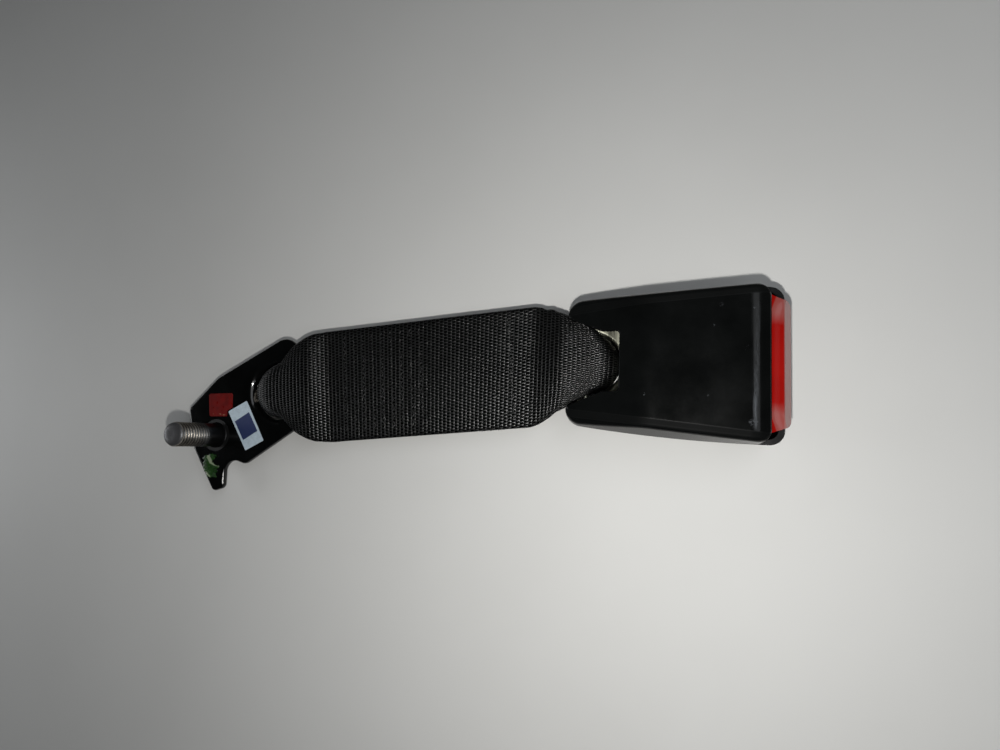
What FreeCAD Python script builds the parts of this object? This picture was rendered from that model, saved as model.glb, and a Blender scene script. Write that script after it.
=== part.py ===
import FreeCAD, Part
import math
import os

# Seat belt buckle stalk: push-button buckle, sewn webbing, anchor plate and captive bolt.
# Millimetres. While modelling, z = 0 is the surface the part lies on and the bolt's axis is x = y = 0.
# The parts are written with z measured from the anchor plate's top face, Z_SEAT above that surface.

# ------------------------------------------------------------------ driving dimensions
Z_SEAT = 9.0            # top face of the anchor plate, above the surface it lies on
PLATE_T = 3.0           # sheet thickness of the anchor plate and of the buckle frame
Z_SHEET = Z_SEAT - PLATE_T          # underside of both sheets
Z_BAR = Z_SHEET + PLATE_T / 2       # height of both bar centres

# buckle, drawn about its own centre line and moved to Y_BUCKLE
Y_BUCKLE = 33.3
SPLIT_Z = 13.7          # where front and rear covers meet
COVER_TOP = 24.0
CEILING = 22.2          # inside of the front cover
COVER_X0, COVER_X1 = 157.1, 224.4   # front cover's face
HW_161, HW_SLOPE = 21.1, 0.092      # half width of the face at x = 161, and its growth per mm
NECK_X, NECK_Z = 157.1, 16.6        # the face slopes down to this height at its webbing end
FACE_X = 184.0                      # where that slope starts
NOSE_X, NOSE_Z = 220.6, 21.3        # ridge before the button, and the height of the facet's far edge
END_CEILING = 20.5                  # inside of the facet's far edge
REAR_X1 = 230.6
WALL = 1.8
BUTTON_TRAVEL = 6.0
LATCH_LIFT = 16.0       # degrees, over the whole button travel
EJECT_TRAVEL = 10.0

# frame
BAR_X0, BAR_X1 = 158.5, 163.0       # end bar that the webbing goes round
BAR_X = (BAR_X0 + BAR_X1) / 2
HOLE_R = 12.2           # round side of both webbing holes
FRAME_HW = 17.5         # half width over the frame's side walls
WALL_IN = 15.5          # half width inside them
FRAME_X1 = 222.0
PIVOT_X, PIVOT_Z, PIN_R = 186.0, 15.5, 1.5
RUN = 0.05              # radial running clearance

# webbing
WEB_ANGLE = 6.27        # direction of the webbing in plan, degrees
WEB_X, WEB_Y = 54.0, 22.7           # a point on its centre line
WEB_HW = 23.4
WEB_T = 4.0             # three layers sewn together
LOOP_IN, LOOP_OUT = 3.1, 5.6        # inside and outside of the loop round the buckle's bar
PLATE_LOOP_IN, PLATE_LOOP_OUT = 3.75, 5.9    # and of the one round the anchor plate's wider bar

# anchor plate and bolt
PLATE_BAR_U0, PLATE_BAR_U1 = 33.5, 39.4     # end bar of the plate, along the webbing direction
BOLT_R, SHOULDER_R, BUSH_R = 5.0, 5.5, 7.0
BOLT_END = 34.2
THREAD_TOP = Z_SEAT + 21.4
HEAD_T, HEAD_AF = 4.6, 15.0


def vec(x, y, z=0.0):
    return FreeCAD.Vector(x, y, z)


def box(x0, x1, y0, y1, z0, z1):
    return Part.makeBox(x1 - x0, y1 - y0, z1 - z0, vec(x0, y0, z0))


def cyl(x, y, z, r, h, d=(0, 0, 1)):
    return Part.makeCylinder(r, h, vec(x, y, z), vec(*d))


def rounded_wire(points, z=0.0):
    """Closed wire through (x, y, corner radius) with tangent arcs."""
    n = len(points)
    cut = []
    for i in range(n):
        p = vec(points[i][0], points[i][1])
        a = vec(points[i - 1][0], points[i - 1][1]) - p
        b = vec(points[(i + 1) % n][0], points[(i + 1) % n][1]) - p
        a.normalize()
        b.normalize()
        r = points[i][2]
        if r <= 0:
            cut.append((p, None, p))
            continue
        half = a.getAngle(b) / 2
        t = r / math.tan(half)
        mid = a + b
        mid.normalize()
        m = p + mid * (r / math.sin(half) - r)
        cut.append((p + a * t, m, p + b * t))
    edges = []
    for i in range(n):
        s, m, e = cut[i]
        if m is not None:
            edges.append(Part.Arc(vec(s.x, s.y, z), vec(m.x, m.y, z), vec(e.x, e.y, z)).toShape())
        q = cut[(i + 1) % n][0]
        if (q - e).Length > 1e-6:
            edges.append(Part.makeLine(vec(e.x, e.y, z), vec(q.x, q.y, z)))
    return Part.Wire(edges)


def prism(points, z0, z1):
    return Part.Face(rounded_wire(points, z0)).extrude(vec(0, 0, z1 - z0))


def side_prism(points, y0, y1):
    """Solid from an x-z outline of (x, z, corner radius), along y."""
    s = prism(points, 0, y1 - y0)
    return s.transformed(FreeCAD.Matrix(1, 0, 0, 0, 0, 0, -1, y1, 0, 1, 0, 0, 0, 0, 0, 1))


def fuse(*shapes):
    out = shapes[0]
    for s in shapes[1:]:
        out = out.fuse(s)
    return out.removeSplitter()


def spring(x0, x1, y, z, r, wire, turns):
    """Compression spring along x with its wire's centre at radius r."""
    length = x1 - x0 - wire
    helix = Part.makeHelix(length / turns, length, r)
    profile = Part.Wire([Part.makeCircle(wire / 2, vec(r, 0, 0), vec(0, 1, 0))])
    s = Part.Wire(helix.Edges).makePipeShell([profile], True, True)
    s.rotate(vec(0, 0, 0), vec(0, 1, 0), 90)
    s.translate(vec(x0 + wire / 2, y, z))
    return s


# ------------------------------------------------------------------ covers
def face_hw(x):
    return HW_161 + HW_SLOPE * (x - 161.0)


def belly_hw(x):
    """Half width at the split line: a gentle outward curve."""
    a, b, c = (155.9, 22.9), (190.0, 26.4), (232.4, 27.5)
    la = (x - b[0]) * (x - c[0]) / ((a[0] - b[0]) * (a[0] - c[0]))
    lb = (x - a[0]) * (x - c[0]) / ((b[0] - a[0]) * (b[0] - c[0]))
    lc = (x - a[0]) * (x - b[0]) / ((c[0] - a[0]) * (c[0] - b[0]))
    return a[1] * la + b[1] * lb + c[1] * lc


def cover_wire(z, hw, x0, x1, r0, r1):
    """Symmetric outline at height z: sides from hw(x), square ends at x0 and x1, corners near r0 and r1."""

    def slope(x):
        d = 0.01
        return (hw(x + d) - hw(x - d)) / (2 * d)

    def corner(xe, r, sign):
        j = xe - sign * r
        for _ in range(8):
            s = slope(j)
            n = math.sqrt(1 + s * s)
            j = xe - sign * r - r * (s / n)
            if sign < 0:
                j = xe + r - r * (s / n)
        s = slope(j)
        n = math.sqrt(1 + s * s)
        cx, cy = j + r * s / n, hw(j) - r / n
        return j, cx, cy

    def half(sign_y):
        j0, cx0, cy0 = corner(x0, r0, -1)
        j1, cx1, cy1 = corner(x1, r1, 1)
        pts = [vec(j0 + (j1 - j0) * k / 6.0, sign_y * hw(j0 + (j1 - j0) * k / 6.0), z) for k in range(7)]
        t0, t1 = vec(1, sign_y * slope(j0), 0), vec(1, sign_y * slope(j1), 0)
        c = Part.BSplineCurve()
        c.interpolate(pts, InitialTangent=t0, FinalTangent=t1)
        side = c.toShape()
        a0 = math.atan2(hw(j0) - cy0, j0 - cx0)
        m0 = (a0 + math.pi) / 2
        arc0 = Part.Arc(vec(x0, sign_y * cy0, z), vec(cx0 + r0 * math.cos(m0), sign_y * (cy0 + r0 * math.sin(m0)), z), pts[0]).toShape()
        a1 = math.atan2(hw(j1) - cy1, j1 - cx1)
        m1 = a1 / 2
        arc1 = Part.Arc(pts[-1], vec(cx1 + r1 * math.cos(m1), sign_y * (cy1 + r1 * math.sin(m1)), z), vec(x1, sign_y * cy1, z)).toShape()
        return arc0, side, arc1, cy0, cy1

    a0, s, a1, cy0, cy1 = half(1)
    b0, t, b1, _, _ = half(-1)
    right = Part.makeLine(vec(x1, -cy1, z), vec(x1, cy1, z))
    left = Part.makeLine(vec(x0, cy0, z), vec(x0, -cy0, z))
    return Part.Wire(Part.__sortEdges__([b0, t, b1, right, a1, s, a0, left]))


def loft(w0, w1):
    return Part.makeLoft([w0, w1], True, True)


def notch_plan(grow=0.0):
    """Flared cut-out for the webbing at the covers' rear end, as (x, y, radius)."""
    g = grow
    return [
        (150.0, -22.5 - g, 0), (156.2, -16.3 - g, 6.0), (169.0, -10.9 - g, 5.0), (175.0 + g, -10.9 - g, 1.5),
        (175.0 + g, 10.9 + g, 1.5), (169.0, 10.9 + g, 5.0), (156.2, 16.3 + g, 6.0), (150.0, 22.5 + g, 0),
    ]


def face_profile(drop, far_z, blend):
    """Side view of the front cover: sloped towards the webbing, flat, then a facet down to the button."""
    k = (COVER_TOP - NECK_Z) / (FACE_X - NECK_X)
    return [
        (145.0, 0.0, 0), (240.0, 0.0, 0), (240.0, far_z - 6.1, 0), (225.6, far_z, 0), (NOSE_X, COVER_TOP - drop, blend),
        (FACE_X, COVER_TOP - drop, 2.5 * blend), (145.0, COVER_TOP - drop - k * (FACE_X - 145.0), 0),
    ]


def face_z(x):
    """Height of the sharp-edged profile."""
    if x < FACE_X:
        return COVER_TOP - (COVER_TOP - NECK_Z) / (FACE_X - NECK_X) * (FACE_X - x)
    if x > NOSE_X:
        return COVER_TOP - (COVER_TOP - NOSE_Z) / (225.6 - NOSE_X) * (x - NOSE_X)
    return COVER_TOP


def front_cover():
    top = cover_wire(COVER_TOP, face_hw, COVER_X0 - 0.5, 224.9, 5.8, 4.2)
    low = cover_wire(SPLIT_Z, belly_hw, 155.5, 226.3, 6.4, 5.0)
    outer = loft(low, top)
    outer = outer.common(side_prism(face_profile(0.0, NOSE_Z, 9.0), -40.0, 40.0)).removeSplitter()
    outer = max(outer.Solids, key=lambda s: s.Volume)
    # the face's outline: edges between the profile's faces and the sides
    rim = []
    for e in outer.Edges:
        pts = [e.valueAt(e.FirstParameter + (e.LastParameter - e.FirstParameter) * k / 4.0) for k in range(5)]
        on_face = all(-0.9 < p.z - face_z(p.x) < 0.02 for p in pts)
        across = e.BoundBox.XLength < 1e-3 and 157.5 < pts[0].x < 224.5
        rise = e.BoundBox.ZLength > 3 * e.BoundBox.XLength + 1.0
        if on_face and not across and not rise:
            rim.append(e)
    shape = None
    for r in (2.0, 1.8, 1.6, 1.3, 1.0):
        try:
            s = outer.makeFillet(r, rim)
            if s.isValid() and len(s.Solids) == 1 and s.Volume > 0.9 * outer.Volume:
                shape = s.Solids[0]
                print("front cover rim fillet", r, len(rim))
                break
        except Exception as err:
            print("front cover rim fillet", r, err)
    if shape is None:
        shape = outer
        print("front cover: sharp rim")

    def inner_low(x):
        return belly_hw(x) - WALL

    def inner_top(x):
        return face_hw(x) - WALL + 0.1

    hollow = loft(
        cover_wire(SPLIT_Z - 1.0, inner_low, 155.9 + WALL, 224.4, 4.6, 3.4),
        cover_wire(CEILING, inner_top, COVER_X0 + WALL, 222.4, 4.2, 3.0),
    )
    inside = face_profile(WALL, NOSE_Z - 2.4, 0.0)
    hollow = hollow.common(side_prism(inside, -40.0, 40.0))
    shape = shape.cut(hollow)
    shape = shape.cut(box(214, NOSE_X + 0.2, -24.0, 24.0, SPLIT_Z - 1, CEILING))
    shape = shape.cut(box(NOSE_X, 230, -24.0, 24.0, SPLIT_Z - 1, END_CEILING))
    # webbing cut-out, with a rounded brim
    shape = shape.cut(prism(notch_plan(), SPLIT_Z - 1, COVER_TOP + 1))
    # ribs that hold the frame's side walls and the mechanism carrier down
    for y0 in (-FRAME_HW, WALL_IN):
        shape = shape.fuse(box(200.0, 202.0, y0, y0 + 2.0, 19.0, CEILING + 0.5))
    shape = shape.removeSplitter()
    brim = []
    for e in shape.Edges:
        b = e.BoundBox
        pts = [e.valueAt(e.FirstParameter + (e.LastParameter - e.FirstParameter) * k / 4.0) for k in range(5)]
        on_slope = all(abs(p.z - face_z(p.x)) < 2e-3 for p in pts)
        if on_slope and b.XMax < 175.01 and b.YMax < 18.0 and b.YMin > -18.0 and e.Length > 0.5:
            brim.append(e)
    for r in (0.7, 0.5, 0.3):
        try:
            s = shape.makeFillet(r, brim)
            if s.isValid() and len(s.Solids) == 1:
                print("front cover brim fillet", r)
                return s.Solids[0]
        except Exception as err:
            print("brim fillet", r, err)
    return shape.Solids[0]


def rear_cover():
    def low(x):
        return belly_hw(x) - 1.2

    outer = loft(
        cover_wire(0.0, low, 156.7, REAR_X1 - 1.0, 5.8, 4.6),
        cover_wire(SPLIT_Z, belly_hw, 155.5, REAR_X1, 6.4, 5.0),
    )
    edges = [e for e in outer.Edges if e.BoundBox.ZMax < 1e-4]
    outer = outer.makeFillet(2.2, edges)
    hollow = loft(
        cover_wire(2.0, lambda x: low(x) - 2.0, 159.0, REAR_X1 - 3.2, 4.2, 3.0),
        cover_wire(SPLIT_Z + 0.5, lambda x: belly_hw(x) - WALL, 157.7, REAR_X1 - 2.0, 4.6, 3.4),
    )
    shape = outer.cut(hollow)
    # ribs under the frame and under the mouth guide
    ribs = []
    for x0 in (178.5, 196.0, 215.0):
        ribs.append(box(x0, x0 + 1.6, -FRAME_HW, FRAME_HW, 1.8, Z_SHEET))
    for y in (-9.0, 9.0):
        ribs.append(box(178.5, 216.0, y - 0.8, y + 0.8, 1.8, Z_SHEET))
    ribs.append(box(225.0, 226.6, -15.0, 15.0, 1.8, Z_SHEET))
    for s in (-1, 1):
        # posts beside the end bar that carry the frame's tail
        y0, y1 = sorted((s * 15.4, s * 17.2))
        ribs.append(box(166.0, 178.6, y0, y1, 1.8, Z_SHEET))
    for rib in ribs:
        shape = shape.fuse(rib)
    shape = shape.removeSplitter()
    shape = shape.cut(prism(notch_plan(2.4), -1, SPLIT_Z + 1))
    # mouth for the tongue
    shape = shape.cut(box(226, 236, -13.3, 13.3, 8.8, SPLIT_Z + 1))
    return max(shape.Solids, key=lambda s: s.Volume)


# ------------------------------------------------------------------ frame and mechanism
def d_hole(xc, r, x_flat, z0, z1):
    """Cutter: half round towards +x about xc, straight at x_flat."""
    e = [
        Part.Arc(vec(xc, -r, z0), vec(xc + r, 0, z0), vec(xc, r, z0)).toShape(),
        Part.makeLine(vec(xc, r, z0), vec(x_flat, r, z0)),
        Part.makeLine(vec(x_flat, r, z0), vec(x_flat, -r, z0)),
        Part.makeLine(vec(x_flat, -r, z0), vec(xc, -r, z0)),
    ]
    return Part.Face(Part.Wire(e)).extrude(vec(0, 0, z1 - z0))


def buckle_frame():
    base = prism(
        [
            (BAR_X0, -FRAME_HW + 1.0, 5.0), (176.0, -FRAME_HW + 1.0, 2.0), (180.0, -FRAME_HW, 2.0), (FRAME_X1, -FRAME_HW, 1.0),
            (FRAME_X1, FRAME_HW, 1.0), (180.0, FRAME_HW, 2.0), (176.0, FRAME_HW - 1.0, 2.0), (BAR_X0, FRAME_HW - 1.0, 5.0),
        ],
        Z_SHEET, Z_SEAT,
    )
    base = base.cut(d_hole(BAR_X1 + 0.3, HOLE_R, BAR_X1, Z_SHEET - 1, Z_SEAT + 1))
    rim = [
        e for e in base.Edges
        if (abs(e.BoundBox.ZMin - e.BoundBox.ZMax) < 1e-4)
        and e.BoundBox.XMin > BAR_X1 - 0.01 and e.BoundBox.XMax < BAR_X1 + HOLE_R + 1 and e.BoundBox.YMax < HOLE_R + 0.01 and e.BoundBox.YMin > -HOLE_R - 0.01
    ]
    for r in (1.2, 0.9, 0.6):
        try:
            s = base.makeFillet(r, rim)
            if s.isValid():
                base = s
                print("frame rim fillet", r)
                break
        except Exception as err:
            print("rim", r, err)
    back = [e for e in base.Edges if abs(e.BoundBox.ZMin - e.BoundBox.ZMax) < 1e-4 and e.BoundBox.XMax < BAR_X0 + 0.01]
    base = base.makeFillet(1.0, back)
    # window that the latch tooth drops into
    base = base.cut(prism([(199.3, -9.2, 1), (204.2, -9.2, 1), (204.2, 9.2, 1), (199.3, 9.2, 1)], 0, 12))
    walls = []
    for s in (-1, 1):
        y0, y1 = sorted((s * WALL_IN, s * FRAME_HW))
        w = side_prism(
            [(181.0, Z_SEAT - 0.5, 0), (204.3, Z_SEAT - 0.5, 0), (204.3, 19.0, 2.0), (183.0, 19.0, 3.0), (181.0, 13.0, 2.0)], y0, y1
        )
        w = w.cut(cyl(PIVOT_X, y0 - 1, PIVOT_Z, PIN_R, 4, (0, 1, 0)))
        walls.append(w)
    tab = side_prism([(177.4, Z_SEAT - 0.5, 0), (179.0, Z_SEAT - 0.5, 0), (179.0, 13.0, 0.5), (177.4, 13.0, 0.5)], -4.0, 4.0)
    return fuse(base, walls[0], walls[1], tab)


def latch_pin():
    s = cyl(PIVOT_X, -FRAME_HW, PIVOT_Z, PIN_R, 2 * FRAME_HW, (0, 1, 0))
    for sgn in (-1, 1):
        y = sgn * FRAME_HW
        s = s.fuse(cyl(PIVOT_X, y if sgn > 0 else y - 0.7, PIVOT_Z, 2.3, 0.7, (0, 1, 0)))
    return s.removeSplitter()


def latch_plate():
    flat = box(PIVOT_X, 203.0, -12.0, 12.0, 14.25, 16.75)
    barrel = cyl(PIVOT_X, -12.0, PIVOT_Z, 2.6, 24.0, (0, 1, 0))
    tooth = side_prism([(200.0, 8.2, 0.5), (203.0, 9.6, 0.6), (203.0, 16.75, 1.6), (200.0, 16.75, 0)], -8.5, 8.5)
    wings = [box(198.6, 203.0, -14.8, 14.8, 15.5, 16.75)]
    s = fuse(flat, barrel, *wings)
    s = s.cut(box(199.5, 206, -8.5, 8.5, 10, 20))
    s = fuse(s, tooth)
    s = s.cut(cyl(PIVOT_X, -20, PIVOT_Z, PIN_R + RUN, 40, (0, 1, 0)))
    # lightening window
    s = s.cut(prism([(190.5, -5, 1.2), (196.5, -5, 1.2), (196.5, 5, 1.2), (190.5, 5, 1.2)], 13.5, 14.25 + 1.0))
    return s.removeSplitter()


def carrier():
    plate = prism([(183.8, -FRAME_HW, 1.5), (195.0, -FRAME_HW, 0.5), (195.0, FRAME_HW, 0.5), (183.8, FRAME_HW, 1.5)], 19.6, 21.6)
    parts = [plate]
    for s in (-1, 1):
        y0, y1 = sorted((s * WALL_IN, s * FRAME_HW))
        parts.append(box(188.0, 195.0, y0, y1, 19.0, 20.0))
        y0, y1 = sorted((s * FRAME_HW, s * 19.0))
        parts.append(box(189.0, 195.0, y0, y1, 15.2, 21.6))
        y0, y1 = sorted((s * FRAME_HW, s * 22.0))
        parts.append(box(193.2, 195.0, y0, y1, 15.2, 19.6))
        parts.append(cyl(195.0, s * 19.8, 17.2, 1.0, 1.8, (1, 0, 0)))
    return fuse(*parts)


def latch_spring():
    """Leaf that presses the latch down, hooked under the carrier."""
    t = 0.35
    top = 19.6 - t
    pts = [(184.6, top), (190.4, top), (192.6, 18.1), (195.6, 16.85), (197.2, 17.25)]
    up = [(x, z) for x, z in pts]
    edges = []
    outline = [(x, z, 0.0 if i in (0, len(up) - 1) else 0.9) for i, (x, z) in enumerate(up)]
    # the upper face is the lower one shifted along each point's normal
    off = []
    for i, (x, z) in enumerate(up):
        a = up[max(i - 1, 0)]
        b = up[min(i + 1, len(up) - 1)]
        dx, dz = b[0] - a[0], b[1] - a[1]
        n = math.hypot(dx, dz)
        off.append((x - dz / n * t, z + dx / n * t))
    off = [(x, z, 0.0 if i in (0, len(up) - 1) else 0.7) for i, (x, z) in enumerate(off)]
    low = [p for p in outline]
    return side_prism(low + off[::-1], -4.0, 4.0)


def ejector():
    b = prism([(191.5, -13.0, 0.6), (198.8, -13.0, 1.0), (198.8, 13.0, 1.0), (191.5, 13.0, 0.6)], 9.3, 12.6)
    b = b.cut(box(190.0, 196.5, -1.9, 1.9, 9.0, 13.0))
    for s in (-1, 1):
        y0, y1 = sorted((s * 4.5, s * 10.5))
        b = b.cut(box(190.0, 196.0, y0, y1, 10.4, 13.0))
    return b.removeSplitter()


def mouth_guide():
    end = REAR_X1 - 3.0
    parts = [box(222.05, end, -15.3, 15.3, Z_SHEET, Z_SEAT - 0.15)]
    for s in (-1, 1):
        y0, y1 = sorted((s * 13.3, s * 15.3))
        parts.append(side_prism([(181.6, Z_SEAT, 0), (222.1, Z_SEAT, 0), (222.1, Z_SHEET, 0), (end, Z_SHEET, 0), (end, 13.6, 0.8), (181.6, 13.6, 0.8)], y0, y1))
    s = fuse(*parts)
    # lead-in chamfer for the tongue
    cut = side_prism([(end - 1.9, Z_SEAT + 0.2, 0), (end + 1.6, Z_SEAT + 0.2, 0), (end + 1.6, 7.4, 0)], -13.3, 13.3)
    return s.cut(cut).removeSplitter()


def press_button():
    x_top, z_top, x_lip, z_lip, z_bot = 224.6, 20.2, 232.4, 14.4, 14.0
    x_edge, z_edge = 229.6, 19.0        # crease between the finger ledge and the front wall
    front = side_prism([(216.5, z_bot, 0), (x_lip, z_bot, 0), (x_lip, z_lip, 0), (x_edge, z_edge, 1.2), (x_top, z_top, 0), (216.5, z_top, 0)], -23.6, 23.6)
    rear = box(211.0, 216.6, -21.6, 21.6, z_bot, 21.9)
    s = fuse(front, rear)
    # taper and round the outer corners in plan
    keep = prism([(205, -23.6, 0), (225.0, -23.6, 3.0), (x_lip, -21.0, 2.6), (x_lip, 21.0, 2.6), (225.0, 23.6, 3.0), (205, 23.6, 0)], z_bot - 1, 23.0)
    s = s.common(keep)
    # finger scoop: a shallow capsule whose axis lies along y, above the ledge
    chord = math.hypot(x_edge - x_top - 0.4, z_top - z_edge)
    sag = 0.4
    r = (chord * chord / 4 + sag * sag) / (2 * sag)
    mx, mz = (x_top + x_edge) / 2 - 0.2, (z_top + z_edge) / 2
    nx, nz = (z_top - z_edge), (x_edge - x_top)
    n = math.hypot(nx, nz)
    cx, cz = mx + nx / n * (r - sag), mz + nz / n * (r - sag)
    half = 16.2
    bend = 11.8
    a = math.radians(45.0)
    ux, uz = 0.85, -0.53                # towards each end the scoop runs outwards and down
    path_at = lambda t, sgn: vec(cx + bend * (1 - math.cos(t)) * ux, sgn * (half + bend * math.sin(t)), cz + bend * (1 - math.cos(t)) * uz)
    path = Part.Wire([
        Part.Arc(path_at(a, -1), path_at(a / 2, -1), path_at(0, -1)).toShape(),
        Part.makeLine(path_at(0, -1), path_at(0, 1)),
        Part.Arc(path_at(0, 1), path_at(a / 2, 1), path_at(a, 1)).toShape(),
    ])
    ring = Part.Wire([Part.makeCircle(r, path_at(a, -1), vec(-math.sin(a) * ux, math.cos(a), -math.sin(a) * uz))])
    tool = path.makePipeShell([ring], True, False)
    s = s.cut(tool)
    s = max(s.Solids, key=lambda q: q.Volume)
    # hollow from the rear
    s = s.cut(box(209.0, 216.6, -17.0, 17.0, 15.5, 20.3)).cut(box(216.0, 224.0, -17.0, 17.0, 15.5, 18.2))
    # spring pockets
    for y in (-19.8, 19.8):
        s = s.cut(cyl(210.0, y, 17.2, 2.0, 6.5, (1, 0, 0)))
    # cam arms that lift the latch
    for sgn in (-1, 1):
        y0, y1 = sorted((sgn * 12.4, sgn * 15.0))
        arm = side_prism(
            [(202.0, z_bot, 0), (213.0, z_bot, 0), (213.0, 20.4, 0), (208.9, 20.4, 0.4), (205.8, 17.4, 0), (203.0, 15.05, 0), (202.0, 14.9, 0)], y0, y1
        )
        s = s.fuse(arm)
    s = s.removeSplitter()
    return max(s.Solids, key=lambda q: q.Volume)


# ------------------------------------------------------------------ webbing
def neck(points_hw, nose_at):
    """Plan outline of one end of the webbing, u measured from the bar centre away from the sewn body (negative = body side)."""
    pts = [vec(u, hw) for u, hw in points_hw]
    edges = []
    poly = pts
    for a, b in zip(poly[:-1], poly[1:]):
        edges.append(Part.makeLine(a, b))
    last = poly[-1]
    # nose: arc through the tip
    tip = vec(nose_at, 0)
    first_low = vec(last.x, -last.y)
    edges.append(Part.Arc(last, tip, first_low).toShape())
    low = [vec(p.x, -p.y) for p in poly][::-1]
    for a, b in zip(low[:-1], low[1:]):
        edges.append(Part.makeLine(a, b))
    edges.append(Part.makeLine(low[-1], pts[0]))
    return Part.Wire(edges)


def loop(points_hw, nose_at, body_u, r_in, r_out):
    """Closed solid of the webbing round a bar at the origin (axis y), nose towards +u, body towards -u."""
    half_t = WEB_T / 2
    zc = Z_BAR
    wire = neck(points_hw, nose_at)
    plan = Part.Face(wire).extrude(vec(0, 0, 40))
    plan.translate(vec(0, 0, -10))
    # side profile
    r = nose_at
    top = r_out
    a = math.asin(top / r)
    xt = r * math.cos(a)
    e = [
        Part.makeLine(vec(body_u, 0, zc + half_t), vec(-2.5, 0, zc + top)),
        Part.makeLine(vec(-2.5, 0, zc + top), vec(xt, 0, zc + top)),
        Part.Arc(vec(xt, 0, zc + top), vec(r, 0, zc), vec(xt, 0, zc - top)).toShape(),
        Part.makeLine(vec(xt, 0, zc - top), vec(-2.5, 0, zc - top)),
        Part.makeLine(vec(-2.5, 0, zc - top), vec(body_u, 0, zc - half_t)),
        Part.makeLine(vec(body_u, 0, zc - half_t), vec(body_u, 0, zc + half_t)),
    ]
    profile = Part.Face(Part.Wire(e)).extrude(vec(0, 60, 0))
    profile.translate(vec(0, -30, 0))
    s = profile.common(plan)
    s = s.cut(cyl(0, -30, zc, r_in, 60, (0, 1, 0)))
    return s.removeSplitter().Solids[0]


BUCKLE_NECK = [(-20.2, 23.2), (-17.0, 22.6), (-14.0, 21.0), (-10.6, 18.2), (-7.0, 16.3), (-3.6, 14.6), (0.7, 13.6), (1.1, 11.6), (3.4, 11.5)]
PLATE_NECK = [(-20.2, 23.2), (-16.0, 22.9), (-12.5, 22.5), (-8.6, 21.4), (-5.0, 19.6), (-2.0, 17.2), (0.9, 15.6), (1.3, 11.6), (3.9, 11.5)]


def web_dir():
    a = math.radians(WEB_ANGLE)
    return math.cos(a), math.sin(a)


def place_web(shape, u):
    """Put a webbing piece drawn about the bar onto the centre line at x = u."""
    shape.rotate(vec(0, 0, 0), vec(0, 0, 1), WEB_ANGLE)
    shape.translate(vec(u, WEB_Y + math.tan(math.radians(WEB_ANGLE)) * (u - WEB_X), 0))
    return shape


PLATE_BAR_X = (PLATE_BAR_U0 + PLATE_BAR_U1) / 2


def webbing_pieces():
    cx, sx = web_dir()
    # buckle end: the bar lies along y, the webbing comes in at a slight angle
    b = loop(BUCKLE_NECK, 13.8, -20.2, LOOP_IN, LOOP_OUT)
    b.translate(vec(BAR_X, Y_BUCKLE, 0))
    p = loop(PLATE_NECK, 11.4, -20.2, PLATE_LOOP_IN, PLATE_LOOP_OUT)
    p.rotate(vec(0, 0, 0), vec(0, 0, 1), 180)
    place_web(p, PLATE_BAR_X)
    # sewn body between the two ends
    y_of = lambda x: WEB_Y + math.tan(math.radians(WEB_ANGLE)) * (x - WEB_X)
    left = [vec(PLATE_BAR_X + 20.2 * cx - s * 23.2 * sx, y_of(PLATE_BAR_X) + 20.2 * sx + s * 23.2 * cx) for s in (1, -1)]
    right = [vec(BAR_X - 20.2, Y_BUCKLE + s * 23.2) for s in (1, -1)]
    w = Part.makePolygon([left[0], right[0], right[1], left[1], left[0]])
    body = Part.Face(w).extrude(vec(0, 0, WEB_T))
    body.translate(vec(0, 0, Z_BAR - WEB_T / 2))
    return body, b, p


def stitching():
    """Rows of lock stitch across the sewn body, above and below."""
    out = []
    rows = [62.0 + 4.2 * k for k in range(9)] + [132.0]
    for x in rows:
        for z0 in (Z_BAR + WEB_T / 2, Z_BAR - WEB_T / 2 - 0.25):
            b = box(-0.35, 0.35, -19.5, 19.5, z0, z0 + 0.25)
            out.append(place_web(b, x))
    return Part.makeCompound(out)


# ------------------------------------------------------------------ anchor plate and bolt
PLATE_OUTLINE = [
    (-15.7, 11.0, 2.5), (-10.9, -6.6, 8.0), (0.9, -24.4, 2.0), (6.2, -22.6, 2.4), (5.7, -9.0, 5.0), (15.9, -11.9, 3.2),
    (40.8, 5.2, 4.0), (37.1, 47.4, 6.8), (-1.6, 25.4, 9.0),
]


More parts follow.
